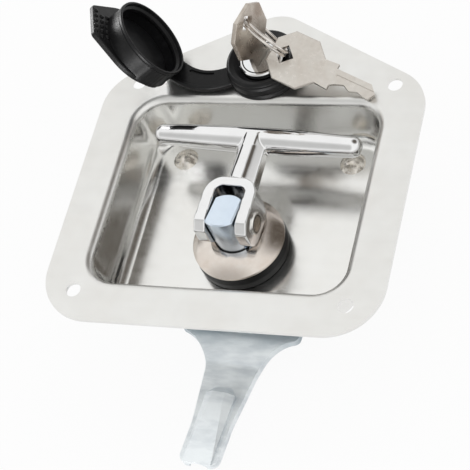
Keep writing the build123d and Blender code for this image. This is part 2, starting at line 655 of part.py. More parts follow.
def at_plug(shape):
    """Turn a shape drawn with the key's width along X to the keyway's angle, on the lock."""
    return Pos(0, LOCK_Y, 0) * Rot(0, 0, KEY_ANGLE) * shape


def make_lock_plug():
    """Plug with its keyway, wafer slots and square tail."""
    body = ring_solid(0, [
        (0, LOCK_BACK_Z), (PLUG_RADIUS, LOCK_BACK_Z),
        (PLUG_RADIUS, LOCK_FACE_Z - PLUG_FACE_THICKNESS),
        (PLUG_FACE_RADIUS, LOCK_FACE_Z - PLUG_FACE_THICKNESS), (PLUG_FACE_RADIUS, LOCK_FACE_Z),
        (0, LOCK_FACE_Z),
    ])
    floor_z = LOCK_FACE_Z + KEY_SHOULDER - KEY_TIP - 1.5
    body -= block_at(0, 0, KEY_SLOT_LENGTH, KEY_SLOT_WIDTH, floor_z, LOCK_FACE_Z + 1)
    for z in wafer_heights():
        half = WAFER_THICKNESS / 2 + 0.05
        body -= block_at(0, 0, 3 * PLUG_RADIUS, WAFER_WIDTH + 0.1, z - half, z + half)
    tail_z = CAM_TOP_Z - CAM_THICKNESS
    body += block_at(0, 0, PLUG_TAIL_SIZE, PLUG_TAIL_SIZE, tail_z, LOCK_BACK_Z)
    body -= disc_at(0, 0, SCREW_RADIUS, tail_z - 1, LOCK_BACK_Z + 6)
    return at_plug(body)


def make_plug_wafers():
    """Brass wafers, each a plate with a window that the key's blade goes through."""
    wafers = []
    for z in wafer_heights():
        half = WAFER_THICKNESS / 2
        wafer = block_at(0, 0, WAFER_LENGTH, WAFER_WIDTH, z - half, z + half)
        wafer -= block_at(0, 0, KEY_SLOT_LENGTH + 0.4, KEY_SLOT_WIDTH + 0.3, z - 1, z + 1)
        wafers.append(at_plug(wafer))
    return wafers


def peg_position():
    """Rest place of the cam's peg, beside the lock's axis."""
    reach = PEG_CIRCLE_RADIUS / sqrt(2.0)
    return (-reach, LOCK_Y + reach)


def make_lock_cam():
    """Stamped cam on the plug's tail, with the peg that moves the slide."""
    low = CAM_TOP_Z - CAM_THICKNESS
    peg_x, peg_y = peg_position()
    plate = disc_at(0, LOCK_Y, CAM_RADIUS, low, CAM_TOP_Z)
    plate += disc_at(peg_x, peg_y, CAM_EYE_RADIUS, low, CAM_TOP_Z)
    plate += disc_at(peg_x, peg_y, PEG_RADIUS, SLIDE_TOP_Z - SLIDE_THICKNESS - 0.2, low)
    tail = at_plug(block_at(0, 0, PLUG_TAIL_SIZE, PLUG_TAIL_SIZE, low - 1, CAM_TOP_Z + 1))
    return plate - tail


def make_cam_screw():
    """Pan-head screw that holds the cam on the plug."""
    high = CAM_TOP_Z - CAM_THICKNESS
    head = disc_at(0, LOCK_Y, SCREW_HEAD_RADIUS, high - SCREW_HEAD_HEIGHT, high)
    head = fillet(head.faces().sort_by(Axis.Z)[0].edges(), 0.9)
    low = high - SCREW_HEAD_HEIGHT
    head -= block_at(0, LOCK_Y, SCREW_SLOT_WIDTH, 4 * SCREW_HEAD_RADIUS, low - 1, low + SCREW_SLOT_DEPTH)
    return head + disc_at(0, LOCK_Y, SCREW_RADIUS, high, LOCK_BACK_Z + 5)


def make_locking_slide():
    """Flat bar from the cam to the stop disc, with a wider head that holds the peg's slot."""
    low = SLIDE_TOP_Z - SLIDE_THICKNESS
    nose_y = SPINDLE_Y + DISC_RADIUS + SLIDE_GAP
    half = SLIDE_HALF_WIDTH
    _, peg_y = peg_position()
    top_y = peg_y + SLIDE_HEAD_ABOVE_PEG
    flare_end = SLIDE_HEAD_START + SLIDE_HEAD_FLARE
    outline = rounded_polygon([
        (-half, nose_y, 1.5), (half, nose_y, 1.5), (half, SLIDE_HEAD_START, 2.0),
        (SLIDE_HEAD_RIGHT, flare_end, 2.0), (SLIDE_HEAD_RIGHT, top_y, 2.5),
        (-SLIDE_HEAD_LEFT, top_y, 2.5), (-SLIDE_HEAD_LEFT, flare_end, 2.0),
        (-half, SLIDE_HEAD_START, 2.0),
    ])
    bar = prism(outline, low, SLIDE_TOP_Z)
    clear = SCREW_HEAD_RADIUS + 0.4
    window_low = LOCK_Y - clear
    window_high = LOCK_Y + SLIDE_TRAVEL + clear
    bar -= block_at(0, (window_low + window_high) / 2, 2 * clear, window_high - window_low,
                    low - 1, SLIDE_TOP_Z + 1)
    slot_end = PEG_CIRCLE_RADIUS + PEG_RADIUS + 0.4
    bar -= block_at(-slot_end / 2, peg_y, slot_end, 2 * (PEG_RADIUS + 0.35), low - 1, SLIDE_TOP_Z + 1)
    return bar


def make_dust_collar():
    """Rubber collar round the lock neck, with a foot lip, a waist and a rolled top."""
    foot_z = SHEET + RUBBER_LIFT
    inner = LOCK_FLANGE_RADIUS + 0.15
    ledge_z = LOCK_FLANGE_TOP_Z + 0.15
    top = COLLAR_RADIUS - COLLAR_TOP_INSET
    waist = (COLLAR_RADIUS - COLLAR_WAIST_INSET, 0, foot_z + COLLAR_WAIST_HEIGHT)
    outline = make_face(
        Polyline((inner, 0, foot_z), (COLLAR_RADIUS, 0, foot_z),
                 (COLLAR_RADIUS + COLLAR_FOOT_LIP, 0, foot_z + COLLAR_FOOT_HEIGHT), waist)
        + ThreePointArc(waist, (COLLAR_RADIUS, 0, COLLAR_BULGE_Z), (top, 0, COLLAR_TOP_Z))
        + Polyline((top, 0, COLLAR_TOP_Z), (top - COLLAR_TOP_WIDTH, 0, COLLAR_TOP_Z),
                   (COLLAR_BORE_RADIUS + COLLAR_MOUTH[0], 0, COLLAR_TOP_Z - COLLAR_MOUTH[1]),
                   (COLLAR_BORE_RADIUS, 0, COLLAR_TOP_Z - COLLAR_BORE_DROP),
                   (COLLAR_BORE_RADIUS, 0, ledge_z), (inner, 0, ledge_z), (inner, 0, foot_z)))
    return Pos(0, LOCK_Y, 0) * revolve(outline, Axis.Z)


def strap_path():
    """Line of the strap from the collar to the cap, in one arc."""
    return ThreePointArc(*STRAP_ROUTE)


def make_dust_strap():
    """Flat rubber strap moulded to the collar, which holds the cap."""
    path = strap_path()
    start = path @ 0
    along = path % 0
    section_plane = Plane(origin=start, z_dir=along, x_dir=along.cross(Vector(0, 0, 1)))
    section = section_plane * RectangleRounded(STRAP_BAND_WIDTH, STRAP_BAND_THICKNESS, STRAP_BAND_CORNER)
    strap = sweep(section, path=path)
    return strap - make_dust_collar() - disc_at(0, LOCK_Y, COLLAR_RADIUS - 1.2, -1, 20)


def cap_plane():
    """Plane of the cap's closed end: local Z runs to the open rim, local X to the grip tab."""
    axis = CAP_AXIS.normalized()
    down = Vector(0, 0, -1)
    inward = (down - axis * down.dot(axis)).normalized()
    return Plane(origin=CAP_RIM_CENTRE - axis * CAP_HEIGHT, x_dir=inward * -1, z_dir=axis)


def make_dust_cap():
    """Rubber cap: a cup with an inner lip and a grip tab on its closed end."""
    inner = CAP_RADIUS - CAP_WALL
    outline = make_face(Polyline(
        (0, 0, 0), (CAP_RADIUS - CAP_EDGE, 0, 0), (CAP_RADIUS, 0, CAP_EDGE),
        (CAP_RADIUS, 0, CAP_HEIGHT - CAP_RIM_EDGE), (CAP_RADIUS - CAP_RIM_EDGE, 0, CAP_HEIGHT),
        (inner, 0, CAP_HEIGHT), (inner - CAP_LIP, 0, CAP_HEIGHT - CAP_LIP_DROP),
        (inner, 0, CAP_HEIGHT - 2 * CAP_LIP_DROP), (inner, 0, CAP_BASE + CAP_FLOOR_EDGE),
        (inner - CAP_FLOOR_EDGE, 0, CAP_BASE), (0, 0, CAP_BASE), close=True))
    cup = revolve(outline, Axis.Z)
    tangent_x = CAP_RADIUS * cos(TAB_TANGENT_TURN)
    tangent_y = CAP_RADIUS * sin(TAB_TANGENT_TURN)
    tab_face = rounded_polygon([
        (tangent_x, tangent_y, 0), (0, 0, 0), (tangent_x, -tangent_y, 0),
        (TAB_REACH, -TAB_HALF_WIDTH, TAB_CORNER), (TAB_REACH, TAB_HALF_WIDTH, TAB_CORNER),
    ])
    tab = prism(tab_face, 0, TAB_THICKNESS) - disc_at(0, 0, CAP_RADIUS - 1.0, -1, TAB_THICKNESS + 1)
    return cap_plane() * (cup + tab)


def key_outline():
    """Key seen flat: bow centre at the origin, blade towards +X."""
    bow = KEY_BOW_HALF
    cut = KEY_BOW_CUT
    neck = KEY_NECK_HALF_WIDTH
    blade = KEY_BLADE_HALF_WIDTH
    cuts = [(KEY_SHOULDER + KEY_CUTS_START + x, -blade + depth) for x, depth in KEY_CUTS]
    points = [
        (-bow, cut), (-cut, bow), (cut, bow), (bow, cut), (KEY_SHOULDER, neck), (KEY_SHOULDER, blade),
        (KEY_TIP - KEY_POINT_LENGTH, blade), (KEY_TIP, 0.6), (KEY_TIP - 1.6, -blade + 1.0),
    ]
    points += list(reversed(cuts))
    points += [(KEY_SHOULDER, -blade), (KEY_SHOULDER, -neck)]
    points += [(bow, -cut), (cut, -bow), (-cut, -bow), (-bow, -cut)]
    return make_face(Polyline(*points, close=True))


def make_key():
    """Flat key with an eight-sided bow, a square ring hole and a milled blade."""
    half = KEY_THICKNESS / 2
    key = prism(key_outline(), -half, half)
    hole = Pos(-KEY_HOLE_OFFSET, 0, 0) * Rot(0, 0, 45) * Box(KEY_HOLE_SIZE, KEY_HOLE_SIZE, 6)
    groove_length = KEY_TIP - KEY_SHOULDER - 1
    groove = Box(groove_length, KEY_GROOVE_WIDTH, 2 * KEY_GROOVE_DEPTH)
    groove = Pos(KEY_SHOULDER + 1 + groove_length / 2, KEY_GROOVE_WIDTH, half) * groove
    bevel = [e for e in key.edges().filter_by_position(Axis.Z, half - 0.01, half + 0.01)
             if e.center().X < KEY_BOW_HALF]
    bevel += [e for e in key.edges().filter_by_position(Axis.Z, -half - 0.01, -half + 0.01)
              if e.center().X < KEY_BOW_HALF]
    key = chamfer(bevel, KEY_EDGE_CHAMFER)
    return key - hole - groove


def key_one_plane():
    """Key in the lock: its X runs down the keyway and its Y across the bow."""
    across = Vector(cos(radians(KEY_ANGLE)), sin(radians(KEY_ANGLE)), 0)
    centre = Vector(0, LOCK_Y, LOCK_FACE_Z + KEY_SHOULDER)
    down = Vector(0, 0, -1)
    return Plane(origin=centre, x_dir=down, z_dir=down.cross(across))


def key_two_plane():
    """Loose key lying against the collar with its tip on the flange."""
    along = KEY_TWO_ALONG.normalized()
    normal = (KEY_TWO_NORMAL - along * KEY_TWO_NORMAL.dot(along)).normalized()
    return Plane(origin=KEY_TWO_CENTRE, x_dir=along, z_dir=normal)


def ring_plane():
    """Plane of the key ring, through both ring holes."""
    hole = Vector(-KEY_HOLE_OFFSET, 0, 0)
    first = key_one_plane().from_local_coords(hole + RING_IN_FIRST_HOLE)
    second = key_two_plane().from_local_coords(hole + RING_IN_SECOND_HOLE)
    along = (second - first).normalized()
    half_chord = (second - first).length / 2
    side = (RING_SIDE - along * RING_SIDE.dot(along)).normalized()
    centre = (first + second) * 0.5 + side * sqrt(RING_RADIUS ** 2 - half_chord ** 2)
    return Plane(origin=centre, x_dir=along * -1, z_dir=along.cross(side))


def make_key_ring():
    """Split ring: two turns of wire, each half turn one arc."""
    start_z = -RING_PITCH * RING_HALF_TURNS / 4
    path = []
    for step in range(RING_HALF_TURNS):
        side = 1 if step % 2 == 0 else -1
        z0 = start_z + step * RING_PITCH / 2
        z1 = z0 + RING_PITCH / 2
        path.append(ThreePointArc((0, -side * RING_RADIUS, z0), (side * RING_RADIUS, 0, (z0 + z1) / 2),
                                  (0, side * RING_RADIUS, z1)))
    wire = Wire(path)
    section = Plane(origin=wire @ 0, z_dir=wire % 0) * Circle(RING_WIRE_RADIUS)
    gap = RING_PITCH - 2 * RING_WIRE_RADIUS
    print("key ring: least gap between turns", round(gap, 2), "mm")
    return ring_plane() * sweep(section, path=wire)


def at_spindle(shape):
    """Place a shape drawn about the spindle's axis, at the handle's rest angle."""
    return Pos(0, SPINDLE_Y, 0) * Rot(0, 0, REST_TURN) * shape


def at_pin(shape):
    """Place a shape drawn about the pivot pin."""
    return at_spindle(Pos(0, 0, PIN_Z) * shape)


def build_parts():
    """Every piece under its node name."""
    return {
        "face_dish": make_face_dish(),
        "rear_bracket": make_rear_bracket(),
        "bracket_rivets": make_rivets(),
        "spindle_bush": make_spindle_bush(),
        "rubber_seal": make_rubber_seal(),
        "dome_washer": make_dome_washer(),
        "spindle": at_spindle(make_spindle()),
        "stop_disc": at_spindle(make_stop_disc()),
        "spacer_sleeve": at_spindle(make_spacer_sleeve()),
        "cam_lever": at_spindle(make_cam_lever()),
        "lever_spring_washer": at_spindle(make_spring_washer()),
        "lever_nut": at_spindle(make_lever_nut()),
        "t_handle": at_pin(make_t_handle()),
        "pivot_pin": at_pin(make_pivot_pin()),
        "lock_housing": make_lock_housing(),
        "lock_tooth_washer": make_tooth_washer(),
        "lock_nut": make_lock_nut(),
        "lock_plug": make_lock_plug(),
        "plug_wafers": make_plug_wafers(),
        "lock_cam": make_lock_cam(),
        "cam_screw": make_cam_screw(),
        "locking_slide": make_locking_slide(),
        "dust_collar": make_dust_collar(),
        "dust_strap": make_dust_strap(),
        "dust_cap": make_dust_cap(),
        "key_one": key_one_plane() * make_key(),
        "key_two": key_two_plane() * make_key(),
        "key_ring": make_key_ring(),
    }


os.makedirs("parts", exist_ok=True)
for name, shape in build_parts().items():
    solids = shape if isinstance(shape, list) else list(shape.solids())
    whole = solids[0] if len(solids) == 1 else Compound(children=solids)
    export_step(whole, os.path.join("parts", name + ".step"))
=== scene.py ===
import json
import logging
from collections.abc import Callable
from dataclasses import dataclass
from enum import Enum
from functools import cached_property
from math import acos, atan2, cos, pi, radians, sin, tan

import bmesh
import bpy
from mathutils import Euler, Matrix, Vector

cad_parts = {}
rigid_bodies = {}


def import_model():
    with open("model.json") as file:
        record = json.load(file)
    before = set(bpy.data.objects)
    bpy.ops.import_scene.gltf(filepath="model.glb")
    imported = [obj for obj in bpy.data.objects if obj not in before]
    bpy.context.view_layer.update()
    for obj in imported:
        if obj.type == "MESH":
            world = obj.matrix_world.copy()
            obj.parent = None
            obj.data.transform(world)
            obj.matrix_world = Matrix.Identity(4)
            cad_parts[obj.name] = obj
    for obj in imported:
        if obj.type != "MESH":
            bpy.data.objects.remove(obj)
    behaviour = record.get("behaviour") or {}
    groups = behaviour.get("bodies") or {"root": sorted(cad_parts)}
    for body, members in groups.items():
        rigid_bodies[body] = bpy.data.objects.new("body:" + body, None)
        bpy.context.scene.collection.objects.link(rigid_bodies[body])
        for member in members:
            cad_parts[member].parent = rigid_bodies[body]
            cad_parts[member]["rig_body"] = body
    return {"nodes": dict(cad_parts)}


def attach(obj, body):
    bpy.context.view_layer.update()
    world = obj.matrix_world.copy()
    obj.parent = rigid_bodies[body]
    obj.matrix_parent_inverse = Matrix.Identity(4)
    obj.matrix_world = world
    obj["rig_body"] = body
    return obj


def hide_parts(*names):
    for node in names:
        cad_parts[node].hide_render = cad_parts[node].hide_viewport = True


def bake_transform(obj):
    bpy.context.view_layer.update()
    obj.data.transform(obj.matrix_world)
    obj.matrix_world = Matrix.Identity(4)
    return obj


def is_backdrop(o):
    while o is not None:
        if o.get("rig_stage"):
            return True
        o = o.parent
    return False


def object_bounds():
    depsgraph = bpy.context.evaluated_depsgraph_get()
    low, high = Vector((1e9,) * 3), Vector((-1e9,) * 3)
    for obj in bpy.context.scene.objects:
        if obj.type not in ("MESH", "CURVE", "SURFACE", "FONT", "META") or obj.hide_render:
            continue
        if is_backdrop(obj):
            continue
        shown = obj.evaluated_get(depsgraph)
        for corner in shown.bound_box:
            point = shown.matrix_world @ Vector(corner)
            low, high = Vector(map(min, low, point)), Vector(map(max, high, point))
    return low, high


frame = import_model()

# Recessed T-handle lock for a toolbox lid: its finishes, its rubber mouldings and its studio.
# Metres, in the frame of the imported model: X across the plate, Y towards the key lock, Z out of the face.

LOG = logging.getLogger("toolbox_lock")
MM = 0.001

Pair = tuple[float, float]
Triple = tuple[float, float, float]
Socket = bpy.types.NodeSocket
Node = bpy.types.Node
Piece = bpy.types.Object


def mm(*lengths: float) -> tuple[float, ...]:
    """Return lengths in metres that are given in millimetres."""
    return tuple(length * MM for length in lengths)


# Places that several pieces share
SPINDLE_AXIS = Vector(mm(0.0, -13.0, 0.0))
LOCK_AXIS = Vector(mm(0.0, 52.0, 0.0))
PIN_CENTRE = Vector(mm(0.0, -13.0, -1.8))
HANDLE_TURN = radians(-3.2)
CAP_RIM_CENTRE = Vector(mm(-39.5, 52.2, 21.2))
CAP_AXIS = Vector((0.823, 0.352, 0.446)).normalized()
CAP_HEIGHT = 10.2 * MM
FLOOR_Z = -52.0 * MM

# Shading and rounding
SMOOTH_ANGLE = radians(28)
MOULDED_ANGLE = radians(36)
CORNER_ANGLE = radians(38)
FLAT_ANGLE = radians(0.4)
FACE_WEIGHT = 80
CORNER_SEGMENTS = 3
PROFILE_STEPS = 6
RIM_STEPS = 4
RUB_SHARE = 0.5
MERGE_DISTANCE = 2.0e-6
LEAST_EDGE = 1.0e-7
EDGE_SHARE = 0.49


class Grain(Enum):
    """Ways in which the fine marks of a metal surface run."""

    ALONG_X = (0.04, 1.0, 1.0)
    ALONG_Z = (1.0, 1.0, 0.04)
    EVEN = (1.0, 1.0, 1.0)


class Layers(Enum):
    """How many finer layers a noise has, and how strong they are."""

    BROAD = (1.0, 0.4)
    SOFT = (2.0, 0.5)
    PLAIN = (3.0, 0.55)
    FINE = (3.0, 0.7)
    CLOUDY = (4.0, 0.6)
    STREAKED = (5.0, 0.66)
    RUBBED = (5.0, 0.7)


class NodeSheet:
    """Short calls that add nodes to one tree and join them."""

    def __init__(self, tree: bpy.types.NodeTree) -> None:
        """Start from an empty tree."""
        tree.nodes.clear()
        self.tree = tree

    def add(self, kind: str, inputs: dict | None = None, **settings: object) -> Node:
        """Add one node.

        Args:
            kind: The node's type name.
            inputs: Values, colours or output sockets, by input name or index.
            settings: Properties of the node itself.

        Returns:
            The new node.
        """
        node = self.tree.nodes.new(kind)
        for name, value in settings.items():
            setattr(node, name, value)
        for key, value in (inputs or {}).items():
            socket = node.inputs[key]
            if isinstance(value, Socket):
                self.tree.links.new(value, socket)
            elif socket.type == "RGBA":
                socket.default_value = (*value, 1.0)
            else:
                socket.default_value = value
        return node

    @cached_property
    def place(self) -> Socket:
        """Return the object coordinates, in metres."""
        return self.add("ShaderNodeTexCoord").outputs["Object"]

    def along(self, vector: Socket, axis: str) -> Socket:
        """Return one coordinate of a vector."""
        return self.add("ShaderNodeSeparateXYZ", {0: vector}).outputs[axis]

    def maths(self, operation: str, *values: object) -> Socket:
        """Return the result of one sum of numbers or sockets."""
        return self.add("ShaderNodeMath", dict(enumerate(values)), operation=operation).outputs[0]

    def vector_maths(self, operation: str, result: str, *values: object) -> Socket:
        """Return the named result of one sum of vectors."""
        return self.add("ShaderNodeVectorMath", dict(enumerate(values)), operation=operation).outputs[result]

    def noise(self, scale: float, layers: Layers = Layers.PLAIN,
              stretch: Triple = Grain.EVEN.value) -> Socket:
        """Return a noise between 0 and 1 over the piece.

        Args:
            scale: Features per metre.
            layers: Its finer layers.
            stretch: Factors on the coordinates, for a noise that runs one way.

        Returns:
            The value socket.
        """
        detail, roughness = layers.value
        place = self.add("ShaderNodeMapping", {"Vector": self.place, "Scale": stretch}).outputs[0]
        return self.add("ShaderNodeTexNoise", {
            "Vector": place, "Scale": scale, "Detail": detail, "Roughness": roughness}).outputs["Fac"]

    def spread(self, value: Socket, low: float, high: float, to_low: float = 0.0,
               to_high: float = 1.0) -> Socket:
        """Return a value carried from one range to another, and held inside it."""
        ends = {"From Min": low, "From Max": high, "To Min": to_low, "To Max": to_high}
        return self.add("ShaderNodeMapRange", {"Value": value} | ends).outputs[0]

    def blend(self, share: Socket, first: Triple | Socket, second: Triple | Socket) -> Socket:
        """Return a colour between two, by inputs 6 and 7 and output 2 of the node, which are its colours."""
        return self.add("ShaderNodeMix", {0: share, 6: first, 7: second}, data_type="RGBA").outputs[2]

    def mixed(self, share: Socket, first: Node, second: Node) -> Node:
        """Return a shader between two."""
        return self.add("ShaderNodeMixShader", {0: share, 1: first.outputs[0], 2: second.outputs[0]})

    def bump(self, height: Socket, distance: float, normal: Socket | None = None,
             strength: float = 1.0) -> Socket:
        """Return a normal tilted by a height, where a height of 1 stands for a distance in metres."""
        start = {} if normal is None else {"Normal": normal}
        return self.add("ShaderNodeBump", {
            "Height": height, "Strength": strength, "Distance": distance} | start).outputs["Normal"]

    def straight(self, path: Node) -> Socket:
        """Return 1 for rays that come straight from the camera or through clear pieces, else 0."""
        return self.maths("MAXIMUM", path.outputs["Is Camera Ray"], path.outputs["Is Transmission Ray"])


@dataclass(frozen=True)
class Finish:
    """A surface finish that makes one material."""

    name: str
    slot: str

    def shade(self, sheet: NodeSheet) -> dict:
        """Return the shader's inputs, which each kind of finish states."""
        raise NotImplementedError

    def material(self) -> bpy.types.Material:
        """Return this finish's material, made once.

        Returns:
            The material.
        """
        found = bpy.data.materials.get(self.name)
        if found is not None:
            return found
        made = bpy.data.materials.new(self.name)
        made.use_nodes = True
        sheet = NodeSheet(made.node_tree)
        shader = sheet.add("ShaderNodeBsdfPrincipled", self.shade(sheet))
        sheet.add("ShaderNodeOutputMaterial", {"Surface": shader.outputs["BSDF"]})
        return made

    def dress(self, piece: Piece) -> None:
        """Put the material on every face of a piece."""
        piece.data.materials.clear()
        piece.data.materials.append(self.material())


@dataclass(frozen=True)
class PlatedMetal(Finish):
    """Bright metal with soft tone changes, fine running marks and small scratches."""

    tone: Triple
    dull_tone: Triple
    roughness: float
    roughness_spread: float
    grain: Grain = Grain.EVEN
    grain_scale: float = 900.0
    grain_height: float = 2.0e-6
    waviness: float = 0.0
    patch_scale: float = 60.0
    patch_range: Pair = (0.35, 0.7)
    smear_ratio: float = 6.0
    smear_range: Pair = (0.12, 0.42)
    wave_ratio: float = 0.9

    def colour(self, sheet: NodeSheet) -> Socket:
        """Return the colour, which drifts between the two tones."""
        patches = sheet.noise(self.patch_scale, Layers.CLOUDY)
        return sheet.blend(sheet.spread(patches, *self.patch_range), self.tone, self.dull_tone)

    def gloss(self, sheet: NodeSheet, marks: Socket) -> Socket:
        """Return the roughness, higher where fine marks and smears meet."""
        met = sheet.maths("MULTIPLY", marks, sheet.noise(self.patch_scale * self.smear_ratio, Layers.SOFT))
        return sheet.spread(met, *self.smear_range, self.roughness, self.roughness + self.roughness_spread)

    def shade(self, sheet: NodeSheet) -> dict:
        """Return the shader's inputs.

        Args:
            sheet: The tree to build in.

        Returns:
            Values and sockets by input name.
        """
        marks = sheet.noise(self.grain_scale, Layers.CLOUDY, self.grain.value)
        normal = sheet.bump(marks, self.grain_height)
        if self.waviness > 0.0:
            waves = sheet.noise(self.patch_scale * self.wave_ratio, Layers.BROAD)
            normal = sheet.bump(waves, self.waviness, normal)
        return {"Base Color": self.colour(sheet), "Metallic": 1.0,
                "Roughness": self.gloss(sheet, marks), "Normal": normal}


@dataclass(frozen=True)
class PressedStainless(PlatedMetal):
    """Stainless sheet whose drawn dish is shinier than the handled flange."""

    flange_haze: float = 0.14
    haze_starts: float = -4.0 * MM
    haze_full: float = 0.4 * MM

    def gloss(self, sheet: NodeSheet, marks: Socket) -> Socket:
        """Return the roughness, higher on the flange."""
        haze = sheet.spread(
            sheet.along(sheet.place, "Z"), self.haze_starts, self.haze_full, 0.0, self.flange_haze)
        return sheet.maths("ADD", super().gloss(sheet, marks), haze)


@dataclass(frozen=True)
class DarkRing:
    """A dark line round an axis, with another tone inside it; where it lies in a gap it is painted shade."""

    centre: Vector
    radius: float
    half_width: float
    line_tone: Triple
    inner_tone: Triple
    counts: Triple = (1.0, 1.0, 0.0)
    turn: float = 0.0
    inner_fade: float = 0.96
    line_fade: float = 0.6

    def reach(self, sheet: NodeSheet) -> Socket:
        """Return the distance from the axis, in metres.

        Args:
            sheet: The tree to build in.

        Returns:
            The distance socket.
        """
        centre = Matrix.Rotation(-self.turn, 3, "Z") @ self.centre
        moved = sheet.add("ShaderNodeMapping", {
            "Vector": sheet.place, "Rotation": (0.0, 0.0, -self.turn), "Location": -centre}).outputs[0]
        flat = sheet.vector_maths("MULTIPLY", "Vector", moved, self.counts)
        return sheet.vector_maths("LENGTH", "Value", flat)


@dataclass(frozen=True)
class DarkRingMetal(PlatedMetal):
    """Bright metal with a dark line round an axis on its face, painted shade where the line lies in a gap."""

    dark_ring: DarkRing | None = None

    def colour(self, sheet: NodeSheet) -> Socket:
        """Return the colour, with the dark line and what it encloses.

        Args:
            sheet: The tree to build in.

        Returns:
            The colour socket.
        """
        dark_ring = self.dark_ring
        reach = dark_ring.reach(sheet)
        edge = dark_ring.radius - dark_ring.half_width
        inside = sheet.spread(reach, edge, edge * dark_ring.inner_fade)
        filled = sheet.blend(inside, super().colour(sheet), dark_ring.inner_tone)
        away = sheet.maths("ABSOLUTE", sheet.maths("SUBTRACT", reach, dark_ring.radius))
        line = sheet.spread(away, dark_ring.half_width, dark_ring.half_width * dark_ring.line_fade)
        return sheet.blend(line, filled, dark_ring.line_tone)


@dataclass(frozen=True)
class SpangledZinc(Finish):
    """Zinc-coated steel sheet with a fine sparkle, soft bands and a painted shadow of the face plate beside
    the dish.
    """

    tone: Triple
    crystal_tone: Triple
    roughness: float
    shine: float
    drift_scale: float = 660.0
    crystal_scale: float = 1095.6
    crystal_range: Pair = (0.1, 0.9)
    crystal_share: float = 0.6
    crystal_height: float = 8.0e-6
    roughness_spread: float = 0.12
    fine_scale: float = 2600.0
    fine_height: float = 1.4e-5
    band_stretch: Triple = (0.35, 1.0, 1.0)
    band_scale: float = 95.0
    streak_range: Pair = (0.45, 0.72)
    streak_tone: Triple = (0.50, 0.545, 0.585)
    # Painted shadow of the face plate: its tone, where it starts and is full along Y, and how the bands break
    # it up
    plate_shadow_tone: Triple = (0.24, 0.30, 0.34)
    plate_shadow_far: float = -46.0 * MM
    plate_shadow_full: float = -38.0 * MM
    plate_shadow_range: Pair = (0.25, 0.6)
    plate_shadow_least: float = 0.5

    def shade(self, sheet: NodeSheet) -> dict:
        """Return the shader's inputs.

        Args:
            sheet: The tree to build in.

        Returns:
            Values and sockets by input name.
        """
        drift = sheet.add("ShaderNodeTexNoise", {"Vector": sheet.place, "Scale": self.drift_scale})
        crystals = sheet.add("ShaderNodeTexVoronoi", {
            "Vector": drift.outputs["Color"], "Scale": self.crystal_scale}, feature="F1")
        speck = sheet.add("ShaderNodeSeparateColor", {0: crystals.outputs["Color"]}).outputs[0]
        bands = sheet.noise(self.band_scale, Layers.STREAKED, self.band_stretch)
        lit = sheet.blend(sheet.spread(speck, *self.crystal_range), self.tone, self.crystal_tone)
        streaked = sheet.blend(sheet.spread(bands, *self.streak_range), lit, self.streak_tone)
        # Painted shadow, darker where the lever runs in under the face plate
        near = sheet.spread(sheet.along(sheet.place, "Y"), self.plate_shadow_far, self.plate_shadow_full)
        cloud = sheet.spread(bands, *self.plate_shadow_range, self.plate_shadow_least, 1.0)
        colour = sheet.blend(sheet.maths("MULTIPLY", near, cloud), streaked, self.plate_shadow_tone)
        gloss = sheet.spread(speck, 0.0, 1.0, self.roughness, self.roughness + self.roughness_spread)
        normal = sheet.bump(sheet.noise(self.fine_scale, Layers.FINE), self.fine_height)
        normal = sheet.bump(speck, self.crystal_height, normal, self.crystal_share)
        return {"Base Color": colour, "Metallic": self.shine, "Roughness": gloss, "Normal": normal}


@dataclass(frozen=True)
class MouldedRubber(Finish):
    """Black rubber with a satin skin, a fine spark texture and pale rub marks."""

    tone: Triple
    rubbed_tone: Triple
    roughness: float
    shine: float
    roughness_spread: float = 0.12
    rub_scale: float = 220.0
    rub_range: Pair = (0.5, 0.8)
    dull_range: Pair = (0.3, 0.7)
    spark_scale: float = 5200.0
    spark_height: float = 1.0e-5

    def shade(self, sheet: NodeSheet) -> dict:
        """Return the shader's inputs.

        Args:
            sheet: The tree to build in.

        Returns:
            Values and sockets by input name.
        """
        rubs = sheet.noise(self.rub_scale, Layers.RUBBED)
        colour = sheet.blend(sheet.spread(rubs, *self.rub_range), self.tone, self.rubbed_tone)
        gloss = sheet.spread(rubs, *self.dull_range, self.roughness, self.roughness + self.roughness_spread)
        normal = sheet.bump(sheet.noise(self.spark_scale, Layers.FINE), self.spark_height)
        return {"Base Color": colour, "Roughness": gloss, "Normal": normal, "Specular IOR Level": self.shine}


# Plated and bare metals, each with its name, slot, tone, dull tone, roughness and the roughness's spread
STAINLESS = PressedStainless(
    "polished_stainless_sheet", "polished_stainless", (0.83, 0.83, 0.815), (0.79, 0.78, 0.755), 0.16, 0.08,
    grain=Grain.ALONG_X, grain_scale=500.0, grain_height=8.0e-7, waviness=2.0e-5, patch_scale=34.0)
